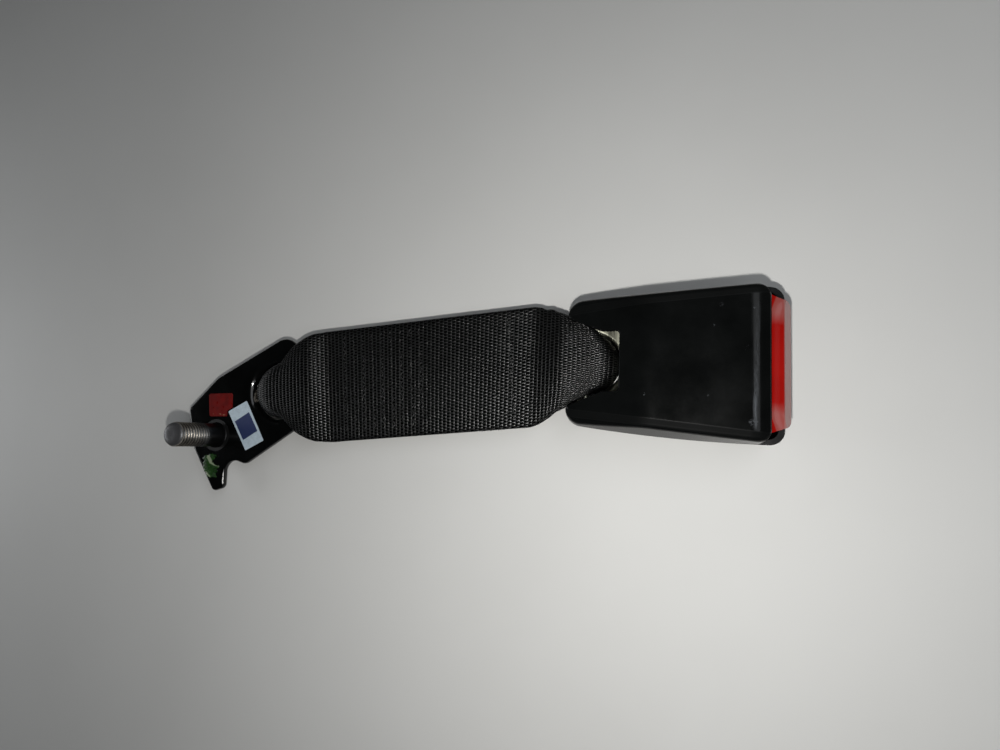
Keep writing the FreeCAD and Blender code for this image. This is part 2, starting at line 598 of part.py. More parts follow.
def anchor_plate():
    s = prism(PLATE_OUTLINE, Z_SHEET, Z_SEAT)
    # webbing hole, drawn about the plate bar with its round side towards the bolt, with a drawn-down lip
    xc = PLATE_BAR_U0 - PLATE_BAR_X - 4.0
    top_r, low_r = 4.2, 1.2
    prof = Part.Wire([
        Part.makeLine(vec(HOLE_R + top_r, 0, Z_SEAT), vec(HOLE_R + top_r, 0, Z_SHEET)),
        Part.Arc(vec(HOLE_R + top_r, 0, Z_SHEET), vec(HOLE_R + top_r - low_r * math.sin(math.pi / 4), 0, Z_SHEET - low_r + low_r * math.cos(math.pi / 4)), vec(HOLE_R + top_r - low_r, 0, Z_SHEET - low_r)).toShape(),
        Part.makeLine(vec(HOLE_R + top_r - low_r, 0, Z_SHEET - low_r), vec(HOLE_R, 0, Z_SEAT - top_r)),
        Part.Arc(vec(HOLE_R, 0, Z_SEAT - top_r), vec(HOLE_R + top_r - top_r * math.sin(math.pi / 4), 0, Z_SEAT - top_r + top_r * math.cos(math.pi / 4)), vec(HOLE_R + top_r, 0, Z_SEAT)).toShape(),
    ])
    lip = Part.Face(prof).revolve(vec(0, 0, 0), vec(0, 0, 1), 180)
    # the face starts on +x; turn so that the half ring lies on the -x side
    lip.rotate(vec(0, 0, 0), vec(0, 0, 1), 90)
    lip.translate(vec(xc, 0, 0))
    cut_r = HOLE_R + top_r
    round_cut = cyl(xc, 0, 0, cut_r, 20).common(box(xc - 30, xc, -30, 30, 0, 20))
    square_cut = box(xc - 0.01, PLATE_BAR_U0 - PLATE_BAR_X, -HOLE_R, HOLE_R, 0, 20)
    for c in (lip, round_cut, square_cut):
        place_web(c, PLATE_BAR_X)
    s = s.cut(round_cut).fuse(lip).cut(square_cut).removeSplitter()
    s = s.cut(cyl(0, 0, 0, BUSH_R, 20))
    s = max(s.Solids, key=lambda q: q.Volume)
    # the bar's own edges are rounded for the webbing
    bar = []
    cx, sx = web_dir()
    for e in s.Edges:
        c = e.CenterOfMass
        dx, dy = c.x - PLATE_BAR_X, c.y - (WEB_Y + math.tan(math.radians(WEB_ANGLE)) * (PLATE_BAR_X - WEB_X))
        u, v = dx * cx + dy * sx, -dx * sx + dy * cx
        flat = e.BoundBox.ZLength < 1e-3
        inner = abs(u - (PLATE_BAR_U0 - PLATE_BAR_X)) < 0.05 and abs(v) < 1.0
        outer = abs(u - (PLATE_BAR_U1 - PLATE_BAR_X)) < 0.6 and abs(v) < 8.0 and e.Length > 20
        if flat and (inner or outer):
            bar.append(e)
    try:
        f = s.makeFillet(1.1, bar)
        if f.isValid():
            s = f
            print("plate bar fillet", len(bar))
    except Exception as err:
        print("plate bar fillet failed", err)
    return s.Solids[0] if s.Solids else s


def bolt_retainer():
    return cyl(0, 0, Z_SHEET, BUSH_R, PLATE_T - 0.1).cut(cyl(0, 0, 0, SHOULDER_R + RUN, 20))


def bolt_washer():
    return cyl(0, 0, HEAD_T, 9.0, Z_SHEET - 0.3 - HEAD_T).cut(cyl(0, 0, 0, SHOULDER_R, 20))


def anchor_bolt():
    hexa = []
    for k in range(6):
        a = math.radians(60 * k + 12)
        hexa.append((HEAD_AF / math.sqrt(3) * math.cos(a), HEAD_AF / math.sqrt(3) * math.sin(a), 0))
    head = prism(hexa, 0.0, HEAD_T - 1.2)
    cone = Part.makeCone(HEAD_AF / 2 - 0.3, HEAD_AF / 2 + 2.4, HEAD_T - 1.2, vec(0, 0, 0))
    head = head.common(cone)
    flange = cyl(0, 0, HEAD_T - 1.2, 9.0, 1.2)
    shoulder = cyl(0, 0, HEAD_T - 0.1, SHOULDER_R, Z_SEAT - 0.1 - HEAD_T + 0.1)
    thread = cyl(0, 0, Z_SEAT - 0.2, BOLT_R, THREAD_TOP - Z_SEAT + 0.2)
    taper = Part.makeCone(BOLT_R, 4.0, 1.4, vec(0, 0, THREAD_TOP))
    pilot = cyl(0, 0, THREAD_TOP + 1.4, 4.0, BOLT_END - THREAD_TOP - 1.4 - 1.2)
    end = Part.makeCone(4.0, 2.9, 1.2, vec(0, 0, BOLT_END - 1.2))
    return fuse(head, flange, shoulder, thread, taper, pilot, end)


RED_LABEL = [(-5.3, 18.1, 1.0), (-3.9, 8.1, 1.0), (5.2, 8.4, 0.3), (5.0, 10.8, 0.2), (7.6, 12.4, 0.2), (7.1, 18.7, 1.0)]
WHITE_LABEL = [(5.6, 10.55, 0.4), (16.0, -6.0, 0.4), (24.6, -1.3, 0.4), (14.6, 15.5, 0.4)]
PAINT = [(-5.2, -10.6, 1.8), (-3.9, -14.8, 2.0), (0.2, -19.4, 1.4), (3.9, -12.6, 1.2), (0.6, -13.2, 0.8), (1.6, -8.6, 1.2), (-2.4, -7.4, 1.6)]


def sticker(outline, t):
    return prism(outline, Z_SEAT, Z_SEAT + t)


# ------------------------------------------------------------------ write
def at_buckle(shape):
    shape.translate(vec(0, Y_BUCKLE, 0))
    return shape


def build():
    body, loop_b, loop_p = webbing_pieces()
    white = sticker(WHITE_LABEL, 0.15)
    red = sticker(RED_LABEL, 0.12)
    parts = {
        "front_cover": at_buckle(front_cover()),
        "rear_cover": at_buckle(rear_cover()),
        "press_button": at_buckle(press_button()),
        "buckle_frame": at_buckle(buckle_frame()),
        "latch_plate": at_buckle(latch_plate()),
        "latch_pin": at_buckle(latch_pin()),
        "latch_spring": at_buckle(latch_spring()),
        "mechanism_carrier": at_buckle(carrier()),
        "mouth_guide": at_buckle(mouth_guide()),
        "ejector": at_buckle(ejector()),
        "ejector_spring": at_buckle(spring(179.05, 196.45, 0, 11.0, 1.3, 0.5, 9)),
        "button_springs": at_buckle(Part.makeCompound([spring(195.05, 216.45, y, 17.2, 1.35, 0.6, 10) for y in (-19.8, 19.8)])),
        "webbing_body": body,
        "webbing_buckle_loop": loop_b,
        "webbing_plate_loop": loop_p,
        "webbing_stitching": stitching(),
        "anchor_plate": anchor_plate(),
        "bolt_retainer": bolt_retainer(),
        "bolt_washer": bolt_washer(),
        "anchor_bolt": anchor_bolt(),
        "red_label": red,
        "white_label": white,
        "paint_mark": sticker(PAINT, 0.1),
    }
    os.makedirs("parts", exist_ok=True)
    for name, shape in parts.items():
        shape = shape.copy()
        shape.translate(vec(0, 0, -Z_SEAT))
        b = shape.BoundBox
        print("%-20s solids %d valid %s vol %9.1f  x %.1f..%.1f y %.1f..%.1f z %.1f..%.1f" % (
            name, len(shape.Solids), shape.isValid(), shape.Volume, b.XMin, b.XMax, b.YMin, b.YMax, b.ZMin, b.ZMax))
        shape.exportStep("parts/%s.step" % name)


build()
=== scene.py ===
import math

import bpy
import numpy as np
from mathutils import Matrix, Vector


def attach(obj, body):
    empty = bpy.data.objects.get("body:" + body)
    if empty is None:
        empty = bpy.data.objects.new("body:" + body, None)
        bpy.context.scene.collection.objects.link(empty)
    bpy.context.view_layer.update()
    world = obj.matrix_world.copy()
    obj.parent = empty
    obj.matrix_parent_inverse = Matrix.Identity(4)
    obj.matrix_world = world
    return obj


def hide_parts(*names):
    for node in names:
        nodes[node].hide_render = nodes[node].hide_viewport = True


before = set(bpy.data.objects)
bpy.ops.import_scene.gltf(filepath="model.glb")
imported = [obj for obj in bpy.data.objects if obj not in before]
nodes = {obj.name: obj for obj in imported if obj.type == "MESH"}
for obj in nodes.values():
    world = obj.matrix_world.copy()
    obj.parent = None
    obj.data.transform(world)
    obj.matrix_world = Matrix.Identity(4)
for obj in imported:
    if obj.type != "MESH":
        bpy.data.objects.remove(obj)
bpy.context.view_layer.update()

MM = 0.001
RNG = np.random.default_rng(7)

# ------------------------------------------------------------------ object's own dimensions, mm, row frame
Z_TABLE = -9.0
ZC = -1.5                       # height of both bar centres
WEB_ANGLE = math.radians(6.27)
WEB_X, WEB_Y = 54.0, 22.7
WEB_HW = 23.4                   # half width of the webbing laid flat
LAYER_T = 1.25                  # thickness of one layer
BAR_X, BUCKLE_Y = 160.75, 33.3
PLATE_BAR_X = 36.45
PITCH_U, PITCH_V = 1.248, 3.4   # repeat of the weave across and along


def centre_y(x):
    return WEB_Y + math.tan(WEB_ANGLE) * (x - WEB_X)


def smooth(t):
    t = np.clip(t, 0.0, 1.0)
    return t * t * (3 - 2 * t)


# ------------------------------------------------------------------ small node helpers
def material(name):
    m = bpy.data.materials.new(name)
    m.use_nodes = True
    nt = m.node_tree
    nt.nodes.clear()
    out = nt.nodes.new("ShaderNodeOutputMaterial")
    b = nt.nodes.new("ShaderNodeBsdfPrincipled")
    nt.links.new(b.outputs[0], out.inputs[0])
    return m, nt, b


def node(nt, kind, **values):
    n = nt.nodes.new(kind)
    for k, v in values.items():
        setattr(n, k, v)
    return n


def setin(n, **values):
    for k, v in values.items():
        n.inputs[k.replace("_", " ")].default_value = v
    return n


def coords(nt):
    return node(nt, "ShaderNodeTexCoord").outputs["Object"]


def mapped(nt, src, scale=(1, 1, 1), rot=(0, 0, 0), loc=(0, 0, 0)):
    m = node(nt, "ShaderNodeMapping")
    nt.links.new(src, m.inputs["Vector"])
    m.inputs["Scale"].default_value = scale
    m.inputs["Rotation"].default_value = rot
    m.inputs["Location"].default_value = loc
    return m.outputs[0]


def noise(nt, src, scale, detail=4.0, rough=0.55):
    n = node(nt, "ShaderNodeTexNoise")
    nt.links.new(src, n.inputs["Vector"])
    n.inputs["Scale"].default_value = scale
    n.inputs["Detail"].default_value = detail
    n.inputs["Roughness"].default_value = rough
    return n.outputs["Fac"]


def ramp(nt, src, stops, interp="LINEAR"):
    r = node(nt, "ShaderNodeValToRGB")
    r.color_ramp.interpolation = interp
    nt.links.new(src, r.inputs[0])
    el = r.color_ramp.elements
    while len(el) < len(stops):
        el.new(0.5)
    for e, (pos, col) in zip(el, stops):
        e.position = pos
        e.color = col if len(col) == 4 else (*col, 1.0)
    return r.outputs[0]


def grey(v):
    return (v, v, v, 1.0)


def math_node(nt, op, a, b=None, c=None, clamp=False):
    m = node(nt, "ShaderNodeMath", operation=op)
    m.use_clamp = clamp
    for i, v in enumerate((a, b, c)):
        if v is None:
            continue
        if isinstance(v, (int, float)):
            m.inputs[i].default_value = v
        else:
            nt.links.new(v, m.inputs[i])
    return m.outputs[0]


def mix(nt, fac, a, b, kind="MIX"):
    m = node(nt, "ShaderNodeMix", data_type="RGBA", blend_type=kind)
    for i, v in ((0, fac), (6, a), (7, b)):
        if isinstance(v, (int, float)):
            m.inputs[i].default_value = v
        elif isinstance(v, tuple):
            m.inputs[i].default_value = v
        else:
            nt.links.new(v, m.inputs[i])
    return m.outputs[2]


def bump(nt, height, strength, distance, after=None):
    b = node(nt, "ShaderNodeBump")
    b.inputs["Strength"].default_value = strength
    b.inputs["Distance"].default_value = distance
    nt.links.new(height, b.inputs["Height"])
    if after is not None:
        nt.links.new(after, b.inputs["Normal"])
    return b.outputs[0]


def separate(nt, src):
    s = node(nt, "ShaderNodeSeparateXYZ")
    nt.links.new(src, s.inputs[0])
    return s.outputs


# ------------------------------------------------------------------ materials
def black_plastic(name, base=0.0032, rough=0.2, grain=0.5):
    """Satin moulded plastic with fine grain, faint smears and a few hair scratches."""
    m, nt, b = material(name)
    co = coords(nt)
    smear = noise(nt, mapped(nt, co, (1, 1, 1)), 55.0, 5.0, 0.6)
    fine = noise(nt, co, 5200.0, 2.0, 0.5)
    wear = noise(nt, co, 420.0, 3.0, 0.6)
    col = ramp(nt, smear, [(0.3, (base, base * 1.12, base * 1.12)), (0.75, (base * 1.7, base * 1.9, base * 1.9))])
    nt.links.new(col, b.inputs["Base Color"])
    r = ramp(nt, smear, [(0.3, grey(rough - 0.04)), (0.7, grey(rough + 0.07))])
    r2 = mix(nt, ramp(nt, wear, [(0.70, grey(0.0)), (0.80, grey(0.25))]), r, grey(rough + 0.15))
    nt.links.new(r2, b.inputs["Roughness"])
    # fine straight scratches, stretched noise in two directions
    s1 = noise(nt, mapped(nt, co, (30.0, 900.0, 400.0), (0, 0, 0.5)), 1.0, 1.0, 0.4)
    s2 = noise(nt, mapped(nt, co, (700.0, 22.0, 400.0), (0, 0, -0.25)), 1.0, 1.0, 0.4)
    cut1 = ramp(nt, s1, [(0.775, grey(0.0)), (0.80, grey(1.0))])
    cut2 = ramp(nt, s2, [(0.775, grey(0.0)), (0.80, grey(1.0))])
    cuts = math_node(nt, "MAXIMUM", cut1, cut2)
    n1 = bump(nt, fine, 0.10 * grain, 0.00005)
    n2 = bump(nt, cuts, 0.10, 0.00003, n1)
    nt.links.new(n2, b.inputs["Normal"])
    b.inputs["Specular IOR Level"].default_value = 0.5
    return m


def front_plastic():
    """The front cover: as the rest, with a pale band painted along the ridge before the button as its highlight, partly
    rub marks, and a few pale nicks.
    """
    m = black_plastic("front_plastic", 0.0024, 0.16, 0.4)
    nt = m.node_tree
    b = next(n for n in nt.nodes if n.type == "BSDF_PRINCIPLED")
    co = coords(nt)
    x, y, z = separate(nt, co)
    xm = math_node(nt, "MULTIPLY", x, 1000.0)
    ym = math_node(nt, "MULTIPLY", y, 1000.0)
    # distance from the ridge line, which leans a little
    line = math_node(nt, "ADD", math_node(nt, "MULTIPLY", math_node(nt, "SUBTRACT", ym, 33.0), 0.028), 220.2)
    d = math_node(nt, "ABSOLUTE", math_node(nt, "SUBTRACT", xm, line))
    # painted highlight, partly rub marks: a narrow pale streaked band along the ridge, stronger towards low y
    ridge_highlight_band = math_node(nt, "SUBTRACT", 1.0, math_node(nt, "DIVIDE", d, 1.0), clamp=True)
    low = math_node(nt, "MULTIPLY", math_node(nt, "SUBTRACT", 0.040, y), 45.0, clamp=True)
    streak = noise(nt, mapped(nt, co, (1800.0, 160.0, 500.0)), 1.0, 4.0, 0.7)
    rub = ramp(nt, streak, [(0.42, grey(0.0)), (0.62, grey(1.0))])
    ends = math_node(nt, "MULTIPLY", math_node(nt, "MULTIPLY", math_node(nt, "SUBTRACT", ym, 10.5), 0.6, clamp=True), math_node(nt, "MULTIPLY", math_node(nt, "SUBTRACT", 54.0, ym), 0.3, clamp=True))
    fac = math_node(nt, "MULTIPLY", math_node(nt, "MULTIPLY", ridge_highlight_band, rub), math_node(nt, "ADD", math_node(nt, "MULTIPLY", low, 0.7), 0.3))
    fac = math_node(nt, "MULTIPLY", fac, ends)
    # scuff at the ridge's lower end
    sx_ = math_node(nt, "SUBTRACT", xm, 219.2)
    sy_ = math_node(nt, "SUBTRACT", ym, 12.9)
    r2 = math_node(nt, "ADD", math_node(nt, "MULTIPLY", math_node(nt, "MULTIPLY", sx_, sx_), 0.35), math_node(nt, "MULTIPLY", math_node(nt, "MULTIPLY", sy_, sy_), 0.5))
    blot = math_node(nt, "SUBTRACT", 1.0, r2, clamp=True)
    crumbs = ramp(nt, noise(nt, co, 1700.0, 3.0, 0.6), [(0.48, grey(0.0)), (0.6, grey(1.0))])
    fac = math_node(nt, "MAXIMUM", fac, math_node(nt, "MULTIPLY", blot, crumbs))
    for px, py, rad, w in ((206.66, 45.41, 0.42, 0.6), (217.43, 38.26, 0.5, 1.0), (216.9, 37.0, 0.35, 0.6), (218.07, 26.9, 0.3, 0.35), (184.04, 21.42, 0.6, 0.6), (204.93, 21.59, 0.5, 0.5), (219.4, 51.2, 0.45, 0.6), (209.0, 52.5, 0.9, 0.18)):
        ax = math_node(nt, "SUBTRACT", xm, px)
        ay = math_node(nt, "SUBTRACT", ym, py)
        q = math_node(nt, "ADD", math_node(nt, "MULTIPLY", ax, ax), math_node(nt, "MULTIPLY", ay, ay))
        dot = math_node(nt, "MULTIPLY", math_node(nt, "SUBTRACT", 1.0, math_node(nt, "DIVIDE", q, rad * rad), clamp=True), w)
        fac = math_node(nt, "MAXIMUM", fac, math_node(nt, "MULTIPLY", dot, crumbs))
    # painted highlight and scuffs: the pale bluish grey is laid into the base colour along the ridge and on the nicks
    old = b.inputs["Base Color"].links[0].from_socket
    nt.links.new(mix(nt, math_node(nt, "MULTIPLY", fac, 0.6, clamp=True), old, (0.13, 0.14, 0.155, 1)), b.inputs["Base Color"])
    oldr = b.inputs["Roughness"].links[0].from_socket
    # the rim is duller than the face and the sides
    half = math_node(nt, "ADD", math_node(nt, "MULTIPLY", math_node(nt, "SUBTRACT", xm, 161.0), 0.092), 21.1 - 3.6)
    off = math_node(nt, "SUBTRACT", math_node(nt, "ABSOLUTE", math_node(nt, "SUBTRACT", ym, 33.3)), half)
    rim = math_node(nt, "MULTIPLY", math_node(nt, "DIVIDE", off, 0.6, clamp=True), math_node(nt, "DIVIDE", math_node(nt, "SUBTRACT", 3.3, off), 0.5, clamp=True))
    r1 = mix(nt, fac, oldr, grey(0.42))
    nt.links.new(mix(nt, rim, r1, grey(0.5)), b.inputs["Roughness"])
    nt.links.new(mix(nt, rim, grey(0.16), grey(0.04)), b.inputs["Specular IOR Level"])
    return m


def red_plastic():
    """Glossy red: dark red in the middle of the scoop, with a painted pale reflection at its ends and a painted milky
    reflection on the front lip.
    """
    m, nt, b = material("red_plastic")
    co = coords(nt)
    x, y, z = separate(nt, co)
    xm = math_node(nt, "MULTIPLY", x, 1000.0)
    ya = math_node(nt, "ABSOLUTE", math_node(nt, "SUBTRACT", math_node(nt, "MULTIPLY", y, 1000.0), 33.3))
    cloud = noise(nt, co, 90.0, 4.0, 0.6)
    wisp = noise(nt, mapped(nt, co, (500.0, 90.0, 500.0)), 1.0, 4.0, 0.6)
    lip = math_node(nt, "DIVIDE", math_node(nt, "SUBTRACT", xm, 229.3), 0.5, clamp=True)
    # painted reflection: pale pink at both ends of the scoop, outside the crescents of the upper face
    end = math_node(nt, "DIVIDE", math_node(nt, "SUBTRACT", math_node(nt, "ADD", ya, math_node(nt, "MULTIPLY", wisp, 3.0)), 14.6), 4.0, clamp=True)
    cres = math_node(nt, "SUBTRACT", math_node(nt, "SUBTRACT", xm, 224.6), math_node(nt, "MULTIPLY", math_node(nt, "MAXIMUM", math_node(nt, "SUBTRACT", ya, 16.4), 0.0), 0.36))
    low = math_node(nt, "DIVIDE", cres, 0.3, clamp=True)
    haze_reflection = math_node(nt, "MULTIPLY", math_node(nt, "MULTIPLY", end, low), 0.75)
    base = ramp(nt, cloud, [(0.3, (0.26, 0.0040, 0.0024)), (0.75, (0.31, 0.0055, 0.0035))])
    c1 = mix(nt, haze_reflection, base, (0.26, 0.075, 0.066, 1))
    # painted reflection: the front lip's colour is made milky pink, as if mirroring the pale table
    c2 = mix(nt, lip, c1, (0.30, 0.135, 0.125, 1))
    nt.links.new(c2, b.inputs["Base Color"])
    smear = noise(nt, mapped(nt, co, (300.0, 40.0, 300.0)), 1.0, 5.0, 0.65)
    nt.links.new(ramp(nt, smear, [(0.35, grey(0.16)), (0.7, grey(0.28))]), b.inputs["Roughness"])
    fine = noise(nt, co, 3600.0, 2.0, 0.5)
    nt.links.new(bump(nt, fine, 0.06, 0.00004), b.inputs["Normal"])
    shine = math_node(nt, "MAXIMUM", math_node(nt, "MULTIPLY", lip, 0.8), math_node(nt, "MULTIPLY", haze_reflection, 0.3))
    nt.links.new(math_node(nt, "ADD", shine, 0.05), b.inputs["Specular IOR Level"])
    return m


def steel(name, colour, rough=0.3, aniso=(1, 1, 1), spots=0.0, spot_colour=(0.1, 0.08, 0.06)):
    m, nt, b = material(name)
    co = coords(nt)
    b.inputs["Metallic"].default_value = 1.0
    brush = noise(nt, mapped(nt, co, aniso), 1.0, 4.0, 0.6)
    cloud = noise(nt, co, 160.0, 4.0, 0.6)
    c0 = tuple(v * 0.8 for v in colour)
    col = ramp(nt, cloud, [(0.3, c0), (0.7, colour)])
    if spots:
        dots = noise(nt, co, 900.0, 3.0, 0.6)
        col = mix(nt, ramp(nt, dots, [(0.62, grey(0.0)), (0.7, grey(spots))]), col, (*spot_colour, 1.0))
    nt.links.new(col, b.inputs["Base Color"])
    nt.links.new(ramp(nt, brush, [(0.3, grey(max(0.05, rough - 0.1))), (0.7, grey(rough + 0.12))]), b.inputs["Roughness"])
    nt.links.new(bump(nt, brush, 0.12, 0.00004), b.inputs["Normal"])
    return m


def gloss_paint():
    """Black e-coat over steel sheet, with a worn spot on the hole's drawn rim."""
    m, nt, b = material("gloss_paint")
    co = coords(nt)
    x, y, z = separate(nt, co)
    cloud = noise(nt, co, 70.0, 4.0, 0.6)
    base = ramp(nt, cloud, [(0.3, (0.0012, 0.0014, 0.0014)), (0.75, (0.0026, 0.0029, 0.0029))])
    # bare edge where the coat has chipped
    chip = noise(nt, co, 1500.0, 4.0, 0.65)
    dx = math_node(nt, "SUBTRACT", math_node(nt, "MULTIPLY", x, 1000.0), 17.6)
    dy = math_node(nt, "SUBTRACT", math_node(nt, "MULTIPLY", y, 1000.0), 18.1)
    dist = math_node(nt, "SQRT", math_node(nt, "ADD", math_node(nt, "MULTIPLY", math_node(nt, "MULTIPLY", dx, dx), 1.6), math_node(nt, "MULTIPLY", math_node(nt, "MULTIPLY", dy, dy), 0.16)))
    near = math_node(nt, "SUBTRACT", 1.0, math_node(nt, "DIVIDE", dist, 1.25), clamp=True)
    worn = math_node(nt, "MULTIPLY", near, ramp(nt, chip, [(0.40, grey(0.0)), (0.5, grey(1.0))]))
    worn = math_node(nt, "MULTIPLY", worn, 2.2, clamp=True)
    nt.links.new(mix(nt, worn, base, (0.42, 0.38, 0.33, 1)), b.inputs["Base Color"])
    nt.links.new(worn, b.inputs["Metallic"])
    orange = noise(nt, co, 900.0, 2.0, 0.5)
    r = ramp(nt, cloud, [(0.3, grey(0.12)), (0.7, grey(0.2))])
    nt.links.new(r, b.inputs["Roughness"])
    scr = noise(nt, mapped(nt, co, (900.0, 40.0, 400.0), (0, 0, 0.6)), 1.0, 1.0, 0.4)
    cuts = ramp(nt, scr, [(0.74, grey(0.0)), (0.77, grey(1.0))])
    n1 = bump(nt, orange, 0.10, 0.00006)
    nt.links.new(bump(nt, cuts, 0.12, 0.00003, n1), b.inputs["Normal"])
    b.inputs["Specular IOR Level"].default_value = 0.35
    b.inputs["Coat Weight"].default_value = 0.15
    b.inputs["Coat Roughness"].default_value = 0.08
    return m


def webbing_material(name="webbing"):
    """Black polyester: warp floats with fine filaments, read from the strap's own unrolled map."""
    m, nt, b = material(name)
    uv = node(nt, "ShaderNodeUVMap", uv_map="weave").outputs[0]
    u, v, _ = separate(nt, uv)      # 1 unit = 10 mm
    co = coords(nt)
    # lanes of warp yarn, 0.624 mm wide, floats 3.4 mm long, neighbours half a repeat apart
    lane = math_node(nt, "DIVIDE", u, PITCH_U / 2 / 10)
    idx = math_node(nt, "FLOOR", math_node(nt, "ADD", lane, 0.5))
    inl = math_node(nt, "SUBTRACT", lane, idx)
    par = math_node(nt, "MULTIPLY", math_node(nt, "MODULO", math_node(nt, "ADD", idx, 1000.0), 2.0), 0.5)
    along = math_node(nt, "SUBTRACT", math_node(nt, "DIVIDE", v, PITCH_V / 10), par)
    # each float is an arched lozenge with steep ends
    a = math_node(nt, "SUBTRACT", math_node(nt, "FRACT", math_node(nt, "ADD", math_node(nt, "ADD", along, 0.5), 1000.0)), 0.5)
    t = math_node(nt, "DIVIDE", a, 0.33)
    arch = math_node(nt, "SQRT", math_node(nt, "MAXIMUM", math_node(nt, "SUBTRACT", 1.0, math_node(nt, "MULTIPLY", t, t)), 0.0))
    across = math_node(nt, "SQRT", math_node(nt, "MAXIMUM", math_node(nt, "SUBTRACT", 1.0, math_node(nt, "MULTIPLY", math_node(nt, "MULTIPLY", inl, inl), 3.4)), 0.0))
    yarn = math_node(nt, "MULTIPLY", arch, math_node(nt, "ADD", math_node(nt, "MULTIPLY", across, 0.45), 0.55))
    fil = node(nt, "ShaderNodeTexNoise")
    comb = node(nt, "ShaderNodeCombineXYZ")
    nt.links.new(math_node(nt, "MULTIPLY", u, 130.0), comb.inputs[0])
    nt.links.new(math_node(nt, "MULTIPLY", v, 12.0), comb.inputs[1])
    nt.links.new(comb.outputs[0], fil.inputs["Vector"])
    fil.inputs["Scale"].default_value = 1.0
    fil.inputs["Detail"].default_value = 2.0
    fil = fil.outputs["Fac"]
    fuzz = noise(nt, co, 1500.0, 3.0, 0.6)
    big = noise(nt, co, 45.0, 3.0, 0.6)
    n0 = bump(nt, yarn, 1.0, 0.00019)
    n1 = bump(nt, fil, 0.5, 0.00005, n0)
    n2 = bump(nt, fuzz, 0.3, 0.00004, n1)
    nt.links.new(n2, b.inputs["Normal"])
    # painted shade: the base colour darkens towards the sunk parts between floats
    recess_shade_colour = ramp(nt, yarn, [(0.05, (0.0005, 0.0006, 0.0006)), (0.9, (0.0024, 0.0026, 0.0025))])
    dust = ramp(nt, big, [(0.5, grey(0.0)), (0.85, grey(0.25))])
    nt.links.new(mix(nt, dust, recess_shade_colour, (0.004, 0.0043, 0.004, 1)), b.inputs["Base Color"])
    nt.links.new(ramp(nt, fil, [(0.3, grey(0.24)), (0.7, grey(0.34))]), b.inputs["Roughness"])
    # the sunk parts between floats stay matt and dark
    nt.links.new(ramp(nt, yarn, [(0.12, grey(0.05)), (0.5, grey(0.62))]), b.inputs["Specular IOR Level"])
    return m


def thread_material():
    m, nt, b = material("thread")
    co = coords(nt)
    n = noise(nt, co, 2600.0, 3.0, 0.6)
    nt.links.new(ramp(nt, n, [(0.3, (0.002, 0.002, 0.002)), (0.7, (0.005, 0.005, 0.005))]), b.inputs["Base Color"])
    nt.links.new(ramp(nt, n, [(0.3, grey(0.28)), (0.7, grey(0.45))]), b.inputs["Roughness"])
    nt.links.new(bump(nt, n, 0.5, 0.00008), b.inputs["Normal"])
    b.inputs["Specular IOR Level"].default_value = 0.7
    return m


def bolt_material():
    """Dark phosphate, rubbed to bare warm metal on the thread's crests."""
    m, nt, b = material("bolt_steel")
    co = coords(nt)
    x, y, z = separate(nt, co)
    r = math_node(nt, "MULTIPLY", math_node(nt, "SQRT", math_node(nt, "ADD", math_node(nt, "MULTIPLY", x, x), math_node(nt, "MULTIPLY", y, y))), 1000.0)
    cloud = noise(nt, co, 420.0, 4.0, 0.65)
    fine = noise(nt, co, 2400.0, 3.0, 0.6)
    crest = ramp(nt, math_node(nt, "SUBTRACT", r, 4.0), [(0.55, grey(0.0)), (0.9, grey(1.0))])
    # only the threaded length is rubbed bare
    zz = math_node(nt, "MULTIPLY", z, 1000.0)
    lowz = math_node(nt, "DIVIDE", math_node(nt, "SUBTRACT", zz, 9.5), 9.0, clamp=True)
    patch = ramp(nt, cloud, [(0.30, grey(0.15)), (0.62, grey(1.0))])
    fac = math_node(nt, "MULTIPLY", math_node(nt, "MULTIPLY", crest, patch), lowz, clamp=True)
    dark = ramp(nt, fine, [(0.3, (0.030, 0.031, 0.032)), (0.75, (0.085, 0.088, 0.09))])
    bare = ramp(nt, cloud, [(0.35, (0.32, 0.27, 0.21)), (0.7, (0.42, 0.39, 0.35))])
    # painted shade: the shank's colour darkens towards the plate below z 9.5 mm, darkest below 7.5 mm
    shade = math_node(nt, "DIVIDE", math_node(nt, "SUBTRACT", 9.5, zz), 2.0, clamp=True)
    dark = mix(nt, math_node(nt, "MULTIPLY", shade, 0.85), dark, (0.006, 0.006, 0.0065, 1))
    tip = math_node(nt, "DIVIDE", math_node(nt, "SUBTRACT", zz, 23.4), 0.6, clamp=True)
    dark = mix(nt, math_node(nt, "MULTIPLY", tip, 0.85), dark, (0.10, 0.10, 0.105, 1))
    nt.links.new(mix(nt, fac, dark, bare), b.inputs["Base Color"])
    nt.links.new(math_node(nt, "SUBTRACT", 0.9, math_node(nt, "MULTIPLY", tip, 0.35)), b.inputs["Metallic"])
    nt.links.new(mix(nt, fac, ramp(nt, fine, [(0.3, grey(0.30)), (0.7, grey(0.5))]), grey(0.26)), b.inputs["Roughness"])
    nt.links.new(bump(nt, fine, 0.25, 0.00006), b.inputs["Normal"])
    return m


def grey_plastic(name, colour, rough=0.5):
    m, nt, b = material(name)
    co = coords(nt)
    n = noise(nt, co, 1800.0, 3.0, 0.6)
    c = noise(nt, co, 120.0, 3.0, 0.6)
    nt.links.new(ramp(nt, c, [(0.3, tuple(v * 0.85 for v in colour)), (0.7, colour)]), b.inputs["Base Color"])
    nt.links.new(ramp(nt, n, [(0.3, grey(rough - 0.08)), (0.7, grey(rough + 0.08))]), b.inputs["Roughness"])
    nt.links.new(bump(nt, n, 0.2, 0.00005), b.inputs["Normal"])
    return m


